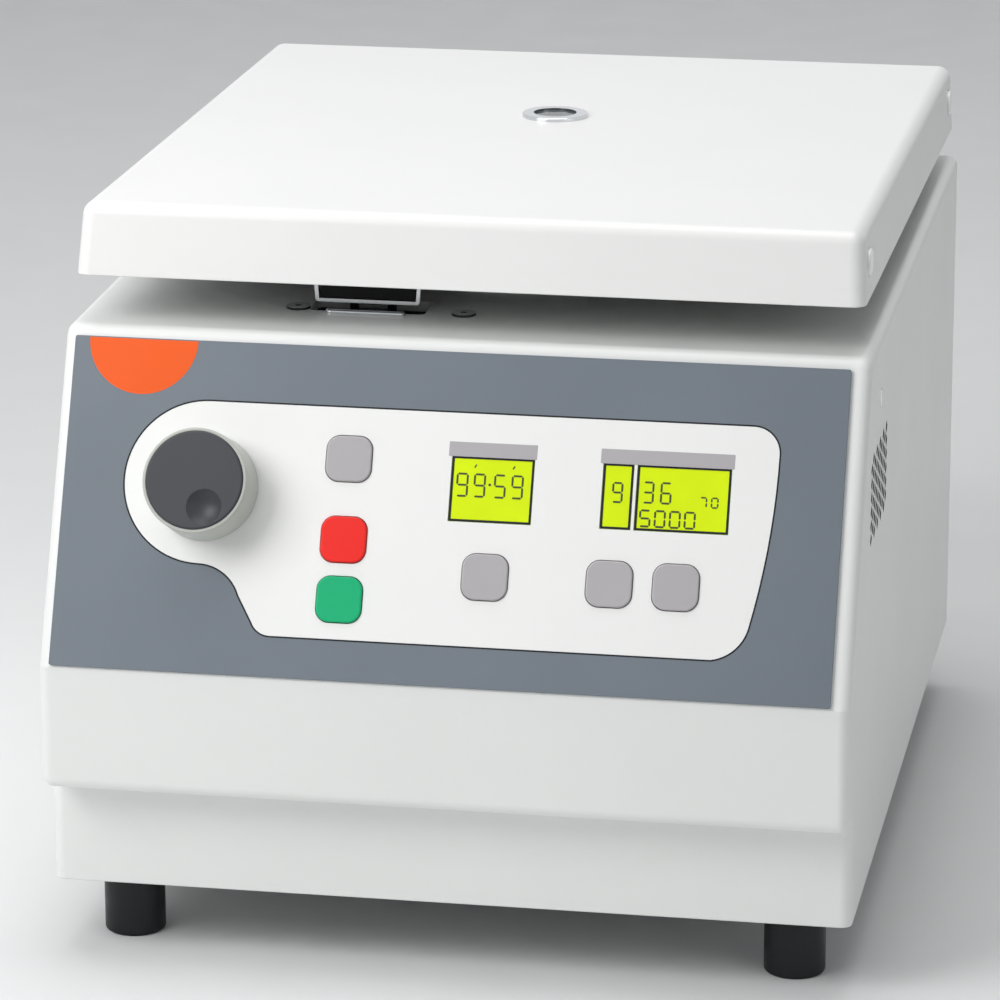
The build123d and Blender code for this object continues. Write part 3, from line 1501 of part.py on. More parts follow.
# ================================================================ fan
fan_back = rear_face
fan_front = fan_back - fan_depth
fan_side = Plane(origin=(fan_x, fan_front, fan_z), x_dir=(1, 0, 0), z_dir=(0, -1, 0))
with BuildPart() as fan_frame:
    with BuildSketch(fan_side):
        RectangleRounded(fan_size, fan_size, fan_corner)
        Circle(fan_bore / 2, mode=Mode.SUBTRACT)
        with GridLocations(fan_hole_pitch, fan_hole_pitch, 2, 2):
            Circle(screw_hole, mode=Mode.SUBTRACT)
    extrude(amount=-fan_depth)
    with BuildSketch(fan_side):
        Circle(fan_hub / 2)
        for turn in range(4):
            with Locations(Location((0, 0), 45 + 90 * turn)):
                Rectangle(fan_bore / 2 + fan_strut, fan_strut, align=(Align.MIN, Align.CENTER))
    extrude(amount=-fan_strut)
    with BuildSketch(fan_side):
        Circle(fan_spindle / 2)
    extrude(amount=-fan_depth + 2 * fan_strut)
save(fan_frame, "fan_frame")

hub_front = fan_strut + 2 * face_gap
fan_hub_depth = fan_depth - hub_front - fan_strut / 2
with BuildPart() as fan_rotor:
    with BuildSketch(fan_side.offset(-hub_front)):
        Circle(fan_hub / 2)
    extrude(amount=-fan_hub_depth)
    for blade in range(fan_blades):
        turn = radians(blade * 360 / fan_blades)
        along = Vector(cos(turn), 0, sin(turn))
        across = Vector(-sin(turn), 0, cos(turn))
        chord = across * cos(radians(fan_pitch)) + Vector(0, sin(radians(fan_pitch)), 0)
        middle = Vector(fan_x, fan_front + hub_front + fan_hub_depth / 2, fan_z)
        with BuildSketch(Plane(origin=middle + along * (fan_hub / 2 - fan_root), x_dir=chord, z_dir=along)):
            Rectangle(fan_chord, fan_blade_thickness)
        extrude(amount=fan_bore / 2 - fan_hub / 2 - fan_tip_gap)
    with BuildSketch(fan_side.offset(-hub_front)):
        Circle(fan_spindle / 2 + running_gap)
    extrude(amount=2 * fan_strut + hub_front - fan_depth - face_gap, mode=Mode.SUBTRACT)
save(fan_rotor, "fan_rotor")

# ================================================================ power board
power_top = base_top + power_standoff + board_thickness
power_middle = Location((power_x, power_y))
with BuildPart() as power_board:
    with BuildSketch(Plane.XY.offset(base_top + power_standoff)):
        with Locations(power_middle):
            Rectangle(power_width, power_length)
    extrude(amount=board_thickness)
    with BuildSketch(Plane.XY.offset(base_top)):
        with Locations(power_middle):
            with GridLocations(
                power_width - 2 * power_post_inset, power_length - 2 * power_post_inset, 2, 2
            ):
                Circle(power_post / 2)
    extrude(amount=power_standoff)
    with BuildSketch(Plane.XY.offset(power_top)):
        with Locations((power_x + transformer_across, power_y)):
            Rectangle(transformer_size[0], transformer_size[1])
    extrude(amount=transformer_size[2])
    with BuildSketch(Plane.XY.offset(power_top)):
        with Locations((power_x - capacitor_across, power_y)):
            with GridLocations(0, capacitor_pitch, 1, 2):
                Circle(capacitor_diameter / 2)
    extrude(amount=capacitor_height)
save(power_board, "power_board")
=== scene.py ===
"""Looks of a bench cytocentrifuge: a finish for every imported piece, and its thin printed details."""

import math

import bmesh
import bpy
from mathutils import Matrix, Vector


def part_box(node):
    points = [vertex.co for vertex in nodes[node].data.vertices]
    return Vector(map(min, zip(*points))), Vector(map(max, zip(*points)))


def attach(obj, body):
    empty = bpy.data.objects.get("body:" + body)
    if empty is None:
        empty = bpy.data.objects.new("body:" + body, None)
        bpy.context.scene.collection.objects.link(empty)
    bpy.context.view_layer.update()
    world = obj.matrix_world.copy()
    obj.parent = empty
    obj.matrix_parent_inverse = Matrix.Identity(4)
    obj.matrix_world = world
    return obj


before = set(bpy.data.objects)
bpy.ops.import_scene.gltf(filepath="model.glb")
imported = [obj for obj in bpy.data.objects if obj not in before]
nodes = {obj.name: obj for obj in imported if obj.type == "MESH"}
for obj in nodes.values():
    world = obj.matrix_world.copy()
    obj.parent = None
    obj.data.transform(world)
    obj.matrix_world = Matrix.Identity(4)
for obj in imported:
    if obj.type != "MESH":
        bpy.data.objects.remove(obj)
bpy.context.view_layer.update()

MM = 0.001
PRINT = 0.04 * MM  # the level of a print's top over the surface that carries it
CLEAR = 0.01 * MM  # the level of its underside
FACING = 0.5  # a face looks along an axis if its normal has more than this share of it


# ================================================================ places taken from the frame
def centre(node):
    """Middle of a node's box."""
    low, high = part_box(node)
    return (low + high) / 2


def largest(faces):
    """The face with the most area."""
    return max(faces, key=lambda face: face.area)


def surface(origin, across, out):
    """Space of a flat surface: x along across, z out of the surface, y square to both."""
    return Matrix.Translation(origin) @ Matrix((across, out.cross(across), out)).transposed().to_4x4()


ACROSS = Vector((1, 0, 0))
overlay = nodes["control_overlay"].data
OUT = largest([face for face in overlay.polygons if face.normal.y < -FACING]).normal.copy()
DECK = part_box("housing")[1].z
PANEL_BACK = min(vertex.co.dot(OUT) for vertex in overlay.vertices)
# The slanted control panel: x runs across it from its middle, y up its slope from the deck's edge.
PANEL = surface(Vector((0, (PANEL_BACK - DECK * OUT.z) / OUT.y, DECK)), ACROSS, OUT)
ON_FACE = 0.1 * MM  # a point at most this far behind a node's front is on its front face


def on_panel(node):
    """Left, right, bottom, top and level of the front face of a node, in the panel's space."""
    inverse = PANEL.inverted()
    local = [inverse @ vertex.co for vertex in nodes[node].data.vertices]
    front = max(point.z for point in local)
    xs, ys, _ = zip(*[point for point in local if point.z > front - ON_FACE])
    return min(xs), max(xs), min(ys), max(ys), front


# ================================================================ colours and shader nodes
NOISE_LOW, NOISE_HIGH = 0.32, 0.68  # the range that the noise textures mostly stay in


def tone(code):
    """A web colour as linear light."""
    channels = [int(code[i : i + 2], 16) / 255 for i in (1, 3, 5)]
    return tuple(c / 12.92 if c <= 0.04045 else ((c + 0.055) / 1.055) ** 2.4 for c in channels)


def shade(colour, factor):
    """A linear colour made darker or lighter."""
    return tuple(min(1.0, channel * factor) for channel in colour)


def principled(name, colour, roughness, **inputs):
    """A material with one shader. Further sockets are given by name, with underscores for spaces."""
    material = bpy.data.materials.new(name)
    material.use_nodes = True
    shader = shader_of(material)
    shader.inputs["Base Color"].default_value = (*colour, 1)
    shader.inputs["Roughness"].default_value = roughness
    for socket, value in inputs.items():
        shader.inputs[socket.replace("_", " ")].default_value = value
    return material


def shader_of(material):
    """The one shader of a material."""
    return material.node_tree.nodes["Principled BSDF"]


def add_node(material, kind, **settings):
    """A shader node with some of its own settings made."""
    node = material.node_tree.nodes.new(kind)
    for key, value in settings.items():
        setattr(node, key, value)
    return node


def join(material, out_socket, in_socket):
    """A link from one node's output to another's input."""
    material.node_tree.links.new(out_socket, in_socket)


def placed(material, scale=(1, 1, 1), location=(0, 0, 0), rotation=(0, 0, 0)):
    """The object's own space in metres, scaled, moved and turned."""
    place = add_node(material, "ShaderNodeTexCoord")
    mapping = add_node(material, "ShaderNodeMapping", vector_type="TEXTURE")
    mapping.inputs["Location"].default_value = location
    mapping.inputs["Rotation"].default_value = rotation
    mapping.inputs["Scale"].default_value = scale
    join(material, place.outputs["Object"], mapping.inputs["Vector"])
    return mapping.outputs["Vector"]


def noise(material, scale, detail, stretch=(1, 1, 1)):
    """Noise with about scale lumps to the metre, drawn out by stretch."""
    texture = add_node(material, "ShaderNodeTexNoise")
    texture.inputs["Scale"].default_value = scale
    texture.inputs["Detail"].default_value = detail
    join(material, placed(material, stretch), texture.inputs["Vector"])
    return texture.outputs["Fac"]


def brushed(direction, lines=2600):
    """Fine scratches along X, Y or Z, sixty times as long as wide, about so many to the metre."""
    stretch = [1.0, 1.0, 1.0]
    stretch["XYZ".index(direction)] = 60.0
    return lambda material: noise(material, lines, detail=4, stretch=stretch)


def lathed(middle, rings=420):
    """Fine rings round an upright axis, as a lathe leaves them."""

    def rings_on(material):
        wave = add_node(material, "ShaderNodeTexWave", wave_type="RINGS", rings_direction="Z")
        wave.inputs["Scale"].default_value = rings
        wave.inputs["Distortion"].default_value = 3.0
        wave.inputs["Detail"].default_value = 4.0
        wave.inputs["Detail Scale"].default_value = 0.6
        # The half turn leaves the rings alone, and only sets where they waver.
        place = placed(material, location=middle, rotation=(0, 0, math.pi))
        join(material, place, wave.inputs["Vector"])
        return wave.outputs["Fac"]

    return rings_on


def vary_colour(material, fac, low, high):
    """Base colour that drifts between two colours."""
    ramp = add_node(material, "ShaderNodeValToRGB")
    stops = zip(ramp.color_ramp.elements, (NOISE_LOW, NOISE_HIGH), (low, high))
    for element, position, colour in stops:
        element.position = position
        element.color = (*colour, 1)
    join(material, fac, ramp.inputs["Fac"])
    join(material, ramp.outputs["Color"], shader_of(material).inputs["Base Color"])


def vary_roughness(material, fac, low, high):
    """Roughness that drifts between two values."""
    span = add_node(material, "ShaderNodeMapRange")
    span.inputs["From Min"].default_value = NOISE_LOW
    span.inputs["From Max"].default_value = NOISE_HIGH
    span.inputs["To Min"].default_value = low
    span.inputs["To Max"].default_value = high
    join(material, fac, span.inputs["Value"])
    join(material, span.outputs["Result"], shader_of(material).inputs["Roughness"])


def relief(material, height, depth, edge=0.0):
    """A bump of a depth, on edges eased by a small radius, both in millimetres."""
    bump = add_node(material, "ShaderNodeBump")
    bump.inputs["Distance"].default_value = depth * MM
    join(material, height, bump.inputs["Height"])
    if edge:
        bevel = add_node(material, "ShaderNodeBevel", samples=4)
        bevel.inputs["Radius"].default_value = edge * MM
        join(material, bevel.outputs["Normal"], bump.inputs["Normal"])
    join(material, bump.outputs["Normal"], shader_of(material).inputs["Normal"])


# ================================================================ kinds of material
def plastic(name, code, roughness, grain, depth, edge, spread, specular=0.5, **inputs):
    """Moulded plastic or enamel: a fine grain, a slow drift of tone and gloss, eased edges."""
    colour = tone(code)
    material = principled(name, colour, roughness, Specular_IOR_Level=specular, **inputs)
    vary_colour(material, noise(material, scale=14, detail=4), shade(colour, 1 - spread), colour)
    vary_roughness(material, noise(material, scale=30, detail=1), roughness * 0.88, roughness * 1.12)
    relief(material, noise(material, grain, detail=2), depth, edge)
    return material


def metal(name, code, roughness, marks_on, depth=0.004, spread=0.14):
    """Metal with the marks that its making leaves."""
    colour = tone(code)
    material = principled(name, colour, roughness, Metallic=1.0)
    marks = marks_on(material)
    vary_colour(material, marks, shade(colour, 1 - spread), colour)
    vary_roughness(material, marks, roughness * 0.85, roughness * 1.15)
    relief(material, marks, depth, edge=0.25)
    return material


def rubber(name, code, roughness):
    """Rubber: dusty in patches, with a coarse skin."""
    colour = tone(code)
    material = principled(name, colour, roughness, Specular_IOR_Level=0.35)
    vary_colour(material, noise(material, scale=70, detail=6), shade(colour, 0.75), shade(colour, 1.3))
    vary_roughness(material, noise(material, scale=130, detail=4), roughness * 0.85, roughness * 1.2)
    relief(material, noise(material, scale=1100, detail=3), depth=0.03, edge=0.4)
    return material


def glass(name, code, roughness=0.02):
    """Clear glass with faint smears."""
    material = principled(name, tone(code), roughness, Transmission_Weight=1.0, IOR=1.5)
    vary_roughness(material, noise(material, scale=90, detail=4), roughness, roughness * 2.5)
    return material


def circuit(name):
    """Printed circuit board: green lacquer over copper tracks."""
    board, track = tone("#1D5A34"), tone("#3C8A52")
    material = principled(name, board, 0.35)
    bricks = add_node(material, "ShaderNodeTexBrick", offset=0.37, squash=1.6)
    bricks.inputs["Scale"].default_value = 140
    bricks.inputs["Mortar Size"].default_value = 0.06
    bricks.inputs["Color1"].default_value = (*board, 1)
    bricks.inputs["Color2"].default_value = (*shade(board, 1.15), 1)
    bricks.inputs["Mortar"].default_value = (*track, 1)
    join(material, placed(material), bricks.inputs["Vector"])
    join(material, bricks.outputs["Color"], shader_of(material).inputs["Base Color"])
    relief(material, bricks.outputs["Fac"], depth=0.03, edge=0.2)
    return material


def lit_glass(name, code):
    """Back-lit display glass: a low even glow over a slow drift of tone, with a faint grain."""
    colour = tone(code)
    glow = {"Emission_Color": (*colour, 1), "Emission_Strength": 0.12}
    material = principled(name, colour, 0.22, Specular_IOR_Level=0.3, **glow)
    vary_colour(material, noise(material, scale=45, detail=2), shade(colour, 0.93), colour)
    relief(material, noise(material, scale=2600, detail=1), depth=0.004)
    return material


# ================================================================ the materials
# Grain is in lumps to the metre. Its depth and the radius of the edges are in millimetres.
# Spread is the share by which the tone drifts.
MOULDED = {"grain": 700, "depth": 0.010, "spread": 0.02}
SHEET = {"grain": 420, "depth": 0.03, "edge": 0.4}
BUTTON = {"grain": 1500, "depth": 0.01, "edge": 0.2, "spread": 0.06}
BLACK = {"grain": 800, "depth": 0.03, "edge": 0.3, "spread": 0.2}
INK = {"grain": 1500, "depth": 0.004, "edge": 0.0}

chamber = centre("chamber_bowl")
port = centre("port_ring")

case_white = plastic("case_white", "#EDEEEC", 0.34, **MOULDED, edge=0.6)
lid_white = plastic("lid_white", "#EFEFED", 0.34, **MOULDED, edge=0.5)
sheet_white = plastic("sheet_white", "#E4E5E2", 0.42, **SHEET, spread=0.04)
sheet_grey = plastic("sheet_grey", "#B9BBBA", 0.42, **SHEET, spread=0.06)
panel_grey = plastic(
    "panel_grey", "#737B84", 0.42, grain=1500, depth=0.008, edge=0.2, spread=0.07, specular=0.3
)
plate_white = plastic("plate_white", "#F1F1EF", 0.38, grain=1500, depth=0.006, edge=0.15, spread=0.015)
button_grey = plastic("button_grey", "#B1ADB0", 0.4, **BUTTON)
button_red = plastic("button_red", "#F5241A", 0.4, **BUTTON, specular=0.3)
button_green = plastic("button_green", "#00B276", 0.4, **BUTTON, specular=0.3)
accent_orange = plastic("accent_orange", "#F05C10", 0.45, **INK, spread=0.03, specular=0.25)
trim_dark = plastic("trim_dark", "#1A1D20", 0.45, **INK, spread=0.1, specular=0.2)
mark_white = plastic("mark_white", "#E8E8E6", 0.4, **INK, spread=0.03)
display_ink = plastic("display_ink", "#3A4607", 0.34, grain=2600, depth=0.002, edge=0.0, spread=0.25)
display_yellow = lit_glass("display_yellow", "#D3EB00")
knob_light = plastic("knob_light", "#B9BCB5", 0.34, grain=1200, depth=0.006, edge=0.3, spread=0.03)
knob_dark = plastic(
    "knob_dark", "#393B3F", 0.4, grain=1200, depth=0.02, edge=0.4, spread=0.1, specular=0.35
)
plug_white = plastic(
    "plug_white", "#F8F8F6", 0.14, grain=900, depth=0.004, edge=0.3, spread=0.02, Coat_Weight=1.0
)
black_plastic = plastic("black_plastic", "#232425", 0.45, **BLACK)
latch_black = plastic("latch_black", "#0C0D0E", 0.45, **BLACK, specular=0.2)
motor_black = plastic("motor_black", "#2E3033", 0.4, grain=500, depth=0.03, edge=0.5, spread=0.15)
chamber_plastic = plastic(
    "chamber_plastic",
    "#E6EAEC",
    0.33,
    grain=1500,
    depth=0.004,
    edge=0.3,
    spread=0.02,
    Subsurface_Weight=0.15,
)
foot_black = rubber("foot_black", "#0F1113", 0.42)
gasket_black = rubber("gasket_black", "#2A2B2C", 0.6)
board_green = circuit("board_green")

screw_steel = metal("screw_steel", "#C9C9CA", 0.22, brushed("X", 3000))
# A black finish for the upright sides of the deck screws: painted shade of the gap round each head.
screw_gap_shade = metal("screw_gap_shade", "#2B2C2E", 0.36, brushed("X", 3000), spread=0.3)
bright_chrome = metal("bright_chrome", "#D2D4D6", 0.08, brushed("X", 900), depth=0.001, spread=0.05)
# Darker chrome for the bore of the viewing port's ring: painted shade inside the hole.
chrome_painted_bore_shade = metal("chrome_painted_bore_shade", "#6E7072", 0.2, brushed("Z", 900), depth=0.001, spread=0.3)
latch_steel = metal("latch_steel", "#BFC1C3", 0.34, brushed("Y"))
bowl_steel = metal("bowl_steel", "#C4C5C6", 0.34, lathed(chamber), depth=0.002, spread=0.05)
guard_steel = metal("guard_steel", "#8C8E90", 0.42, lathed(chamber, rings=240))
# Dark metal of the screen behind the air holes, also put on the walls of the holes as painted shade.
dark_screen_and_hole_shade = metal("dark_screen_and_hole_shade", "#3C3E41", 0.5, brushed("Z", 2000), spread=0.25)
rotor_aluminium = metal("rotor_aluminium", "#C9CBCD", 0.36, lathed(chamber, rings=500), depth=0.003)
clip_steel = metal("clip_steel", "#C2C3C4", 0.22, brushed("Z"))
slide_glass = glass("slide_glass", "#E4F2EF")
window_clear = glass("window_clear", "#B4BABB")

FINISHES = {
    case_white: ["housing"],
    lid_white: ["lid_shell"],
    sheet_white: ["rear_panel"],
    sheet_grey: ["base_plate", "lid_liner", "hinge_arms", "hinge_brackets"],
    foot_black: ["feet"],
    gasket_black: ["chamber_gasket", "motor_mounts"],
    screw_steel: ["case_screws", "encoder_shaft", "motor_shaft", "hinge_pins"],
    panel_grey: ["control_overlay"],
    plate_white: ["display_plate"],
    display_yellow: ["display_time", "display_speed"],
    button_grey: ["button_lid", "button_time", "button_program", "button_select"],
    button_red: ["button_stop"],
    button_green: ["button_start"],
    board_green: ["control_board", "power_board"],
    knob_light: ["knob_skirt"],
    knob_dark: ["knob_cap"],
    black_plastic: [
        "encoder_body",
        "latch_actuator",
        "power_inlet",
        "power_rocker",
        "fan_frame",
        "fan_rotor",
    ],
    latch_black: ["latch_block"],
    bowl_steel: ["chamber_bowl"],
    guard_steel: ["guard_ring"],
    dark_screen_and_hole_shade: ["vent_screen"],
    motor_black: ["motor_housing"],
    rotor_aluminium: ["rotor_head", "rotor_nut"],
    clip_steel: [f"slide_clip_{number}" for number in range(1, 5)],
    chamber_plastic: [f"sample_chamber_{number}" for number in range(1, 5)],
    slide_glass: [f"glass_slide_{number}" for number in range(1, 5)],
    window_clear: ["port_window"],
    plug_white: ["lid_plugs", "release_plug"],
    bright_chrome: ["port_ring", "latch_frame", "deck_lip"],
    latch_steel: ["latch_bolt"],
}


def dress_nodes():
    """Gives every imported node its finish."""
    for material, names in FINISHES.items():
        for name in names:
            for slot in nodes[name].material_slots:
                slot.material = material


def dress_part(name, material, chosen):
    """Gives the faces of a node that pass a test a finish of their own."""
    mesh = nodes[name].data
    mesh.materials.append(material)
    for face in mesh.polygons:
        if chosen(face):
            face.material_index = len(mesh.materials) - 1


def on_deck_screw(face):
    """Whether a face of the screws is on the deck and ahead of the chamber, beside the latch."""
    return face.center.z > DECK - 15 * MM and face.center.y < chamber.y


def on_screw_side_painted_shade(face):
    """Whether a face is an upright one of a deck screw, which takes a black finish as painted shade of
    the gap round the head.
    """
    return on_deck_screw(face) and abs(face.normal.z) < FACING


def in_port_bore_painted_shade(face):
    """Whether a face lines the hole of the ring round the viewing port, where a dark chrome paints the
    shade in the hole.
    """
    return abs(face.normal.z) < FACING and face.normal.dot(port - face.center) > 0


def in_vent_hole_painted_shade(face):
    """Whether a face lines one of the air holes in the side wall, in front of the screen: these walls
    take the screen's dark finish as painted shade inside the holes.
    """
    low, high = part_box("vent_screen")
    place = face.center
    across = low.x < place.x and low.y < place.y < high.y and low.z < place.z < high.z
    return across and abs(face.normal.x) < FACING


# ================================================================ mesh helpers
SHARP = math.radians(35)  # edges that turn more than this stay sharp


def smooth_piece(name, mesh, material, body):
    """Links a finished mesh as a piece that rides on a body."""
    data = bpy.data.meshes.new(name)
    bmesh.ops.recalc_face_normals(mesh, faces=mesh.faces)
    mesh.to_mesh(data)
    mesh.free()
    piece = bpy.data.objects.new(name, data)
    bpy.context.scene.collection.objects.link(piece)
    data.materials.append(material)
    data.shade_smooth()
    data.set_sharp_from_angle(angle=SHARP)
    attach(piece, body)


def loop_at(mesh, outline, height, matrix):
    """Vertices of an outline in a surface's (x, y), at a height over the surface."""
    return [mesh.verts.new(matrix @ Vector((x, y, height))) for x, y in outline]


def wall(mesh, near, far):
    """Faces between two loops with the same number of vertices."""
    count = len(near)
    for i in range(count):
        j = (i + 1) % count
        mesh.faces.new((near[i], near[j], far[j], far[i]))


def raised(mesh, outline, base, top, matrix=PANEL):
    """A thin shape standing on a surface, from base up to top."""
    low = loop_at(mesh, outline, base, matrix)
    high = loop_at(mesh, outline, top, matrix)
    mesh.faces.new(low[::-1])
    mesh.faces.new(high)
    wall(mesh, low, high)


def band(mesh, outer, inner, base, top, matrix=PANEL):
    """A thin frame between two outlines with the same number of points, from base up to top."""
    outer_low, inner_low, outer_high, inner_high = (
        loop_at(mesh, outline, height, matrix) for height in (base, top) for outline in (outer, inner)
    )
    ring = (outer_low, outer_high, inner_high, inner_low)
    for near, far in zip(ring, ring[1:] + ring[:1]):
        wall(mesh, near, far)


def rounded(left, right, bottom, top, radius, steps=3):
    """Outline of a rectangle with round corners."""
    points = []
    corners = ((right, top, 0), (left, top, 90), (left, bottom, 180), (right, bottom, 270))
    for x, y, start in corners:
        mid_x = x - radius if x == right else x + radius
        mid_y = y - radius if y == top else y + radius
        for step in range(steps + 1):
            turn = math.radians(start + 90 * step / steps)
            points.append((mid_x + radius * math.cos(turn), mid_y + radius * math.sin(turn)))
    return points


def circle(radius, steps=40):
    """Outline of a circle round the surface's origin."""
    turns = [math.tau * step / steps for step in range(steps)]
    return [(radius * math.cos(turn), radius * math.sin(turn)) for turn in turns]


# ================================================================ printed details on the panel
def half_disc(steps=64):
    """Plain half disc in the corner of the overlay, its flat side near the overlay's top edge."""
    left, _, _, top, face = on_panel("control_overlay")
    middle, radius = left + 24.4 * MM, 19.2 * MM
    edge = top - 0.4 * MM
    turns = [math.pi * (1 + step / steps) for step in range(steps + 1)]
    outline = [(middle + radius * math.cos(turn), edge + radius * math.sin(turn)) for turn in turns]
    mesh = bmesh.new()
    raised(mesh, outline, face + CLEAR, face + PRINT)
    smooth_piece("accent_half_disc", mesh, accent_orange, "base")


def front_loops(node):
    """Boundary loops of the faces of a node that look out of the panel, in the panel's (x, y)."""
    inverse = PANEL.inverted()
    data = nodes[node].data
    front = on_panel(node)[4] - ON_FACE / 2
    borders = {}
    for face in data.polygons:
        corners = [inverse @ data.vertices[index].co for index in face.vertices]
        if min(corner.z for corner in corners) < front:
            continue
        keys = [(round(corner.x, 6), round(corner.y, 6)) for corner in corners]
        for start, end in zip(keys, keys[1:] + keys[:1]):
            if (end, start) in borders:  # two faces share this edge, so it is no border
                del borders[(end, start)]
            else:
                borders[(start, end)] = True
    following = dict(borders.keys())
    loops = []
    while following:
        start, point = following.popitem()
        loop = [start]
        while point in following:
            loop.append(point)
            point = following.pop(point)
        loops.append(loop)
    return loops


def width_of(loop):
    """How wide a loop is across the panel."""
    xs = [x for x, _ in loop]
    return max(xs) - min(xs)


def offset_loop(points, distance):
    """A closed outline moved to its left by a distance at every corner."""
    moved = []
    count = len(points)
    for i in range(count):
        before = Vector(points[i]) - Vector(points[i - 1])
        after = Vector(points[(i + 1) % count]) - Vector(points[i])
        normal = (before.normalized() + after.normalized()).orthogonal().normalized()
        moved.append(tuple(Vector(points[i]) + normal * distance))
    return moved


def plate_outline():
    """Fine dark line round the white display plate."""
    outline = max(front_loops("display_plate"), key=width_of)
    face = on_panel("display_plate")[4]
    outer = offset_loop(outline, 0.35 * MM)
    inner = offset_loop(outline, -0.2 * MM)
    mesh = bmesh.new()
    band(mesh, outer, inner, face + CLEAR, face + PRINT)
    smooth_piece("plate_outline", mesh, trim_dark, "base")


def label_strips():
    """Bare grey strips over the displays. Their ends are in millimetres from the panel's middle."""
    face = on_panel("display_plate")[4]
    height, gap, corner = 5.0 * MM, 0.15 * MM, 0.3 * MM
    for name, display, left, right in (
        ("label_strip_time", "display_time", -2.0, 28.4),
        ("label_strip_speed", "display_speed", 50.3, 96.0),
    ):
        bottom = on_panel(display)[3] - gap
        mesh = bmesh.new()
        outline = rounded(left * MM, right * MM, bottom, bottom + height, corner)
        raised(mesh, outline, face + CLEAR, face + PRINT)
        smooth_piece(name, mesh, button_grey, "base")


# ================================================================ the displays
SEGMENTS = {
    "0": "abcdef",
    "1": "bc",
    "2": "abdeg",
    "3": "abcdg",
    "4": "bcfg",
    "5": "acdfg",
    "6": "acdefg",
    "7": "abc",
    "8": "abcdefg",
    "9": "abcdfg",
}
POINT_STEP = 1.0 * MM  # the room that a point takes in a row of figures
POINT_RISE = 0.55  # its height in the row, as a share of the figures' height
POINT_REACH = 0.45 * MM  # half its width
POINT_CORNER = 0.3 * MM


def segment(start, end, width):
    """A bar with pointed ends between two places, a little short of them."""
    start, end = Vector(start), Vector(end)
    along = (end - start).normalized()
    side = Vector((-along.y, along.x)) * width / 2
    tip = along * width / 2
    gap = tip * 0.3
    start, end = start + gap, end - gap
    corners = (start, start + tip + side, end - tip + side, end, end - tip - side, start + tip - side)
    return [tuple(corner) for corner in corners]


def digit(mesh, figure, x, y, width, height, stroke, level):
    """A seven-segment figure whose lower left corner is at (x, y)."""
    middle, high, right = y + height / 2, y + height, x + width
    places = {
        "a": ((x, high), (right, high)),
        "b": ((right, high), (right, middle)),
        "c": ((right, middle), (right, y)),
        "d": ((x, y), (right, y)),
        "e": ((x, middle), (x, y)),
        "f": ((x, high), (x, middle)),
        "g": ((x, middle), (right, middle)),
    }
    for letter in SEGMENTS[figure]:
        raised(mesh, segment(*places[letter], stroke), level + CLEAR, level + PRINT)


def figures(name, display, window_left, text, corner, size, pitch, stroke=0.7):
    """A row of figures, all in millimetres: its corner from a window's lower left one, and a figure's
    size, pitch and stroke."""
    _, _, bottom, _, level = on_panel(display)
    x = window_left + corner[0] * MM
    y = bottom + corner[1] * MM
    width, height = size[0] * MM, size[1] * MM
    mesh = bmesh.new()
    for figure in text:
        if figure == ".":
            # The point stands halfway between the figures on its two sides.
            dot_x = x + (POINT_STEP - pitch * MM + width) / 2
            dot_y = y + height * POINT_RISE
            sides = dot_x - POINT_REACH, dot_x + POINT_REACH, dot_y - POINT_REACH, dot_y + POINT_REACH
            raised(mesh, rounded(*sides, POINT_CORNER), level + CLEAR, level + PRINT)
            x += POINT_STEP
            continue
        digit(mesh, figure, x, y, width, height, stroke * MM, level)
        x += pitch * MM
    smooth_piece(name, mesh, display_ink, "base")


def unit_ticks(window_left):
    """Two small slanted strokes over the figures of the time, for minutes and seconds."""
    _, _, _, top, level = on_panel("display_time")
    y = top - 3.2 * MM
    lean, rise, stroke = 0.4 * MM, 0.7 * MM, 0.5 * MM
    mesh = bmesh.new()
    for place in (8.2 * MM, 21.4 * MM):
        x = window_left + place
        tick = segment((x - lean, y - rise), (x + lean, y + rise), stroke)
        raised(mesh, tick, level + CLEAR, level + PRINT)
    smooth_piece("unit_ticks", mesh, display_ink, "base")


def display_rim(name, node, left, right):
    """Dark rim inside a display window, standing on its glass."""
    _, _, bottom, top, level = on_panel(node)
    rim, height = 0.8 * MM, 0.12 * MM
    outer = rounded(left, right, bottom, top, radius=0.3 * MM)
    inner = rounded(left + rim, right - rim, bottom + rim, top - rim, radius=0.2 * MM)
    mesh = bmesh.new()
    band(mesh, outer, inner, level + CLEAR, level + height)
    smooth_piece(name, mesh, trim_dark, "base")


def displays():
    """Rims and figures of the two displays. The second has two windows, for program and speed."""
    time, speed = "display_time", "display_speed"
    time_left, time_right, *_ = on_panel(time)
    program_left, speed_right, *_ = on_panel(speed)
    program_right = program_left + 10.4 * MM
    speed_left = speed_right - 32.0 * MM
    display_rim("display_rim_time", time, time_left, time_right)
    display_rim("display_rim_program", speed, program_left, program_right)
    display_rim("display_rim_speed", speed, speed_left, speed_right)
    figures("figures_time", time, time_left, "99.59", (2.2, 8.8), (3.5, 7.6), pitch=6.0)
    unit_ticks(time_left)
    figures("figures_program", speed, program_left, "9", (3.7, 9.3), (3.1, 6.5), pitch=6.0)
    figures("figures_radius", speed, speed_left, "36", (2.5, 9.6), (3.2, 6.9), pitch=6.0)
    figures("figures_rotor", speed, speed_left, "70", (21.9, 8.9), (2.1, 3.3), pitch=3.9, stroke=0.55)
    figures("figures_speed", speed, speed_left, "5000", (1.8, 1.5), (3.3, 5.4), pitch=5.1)


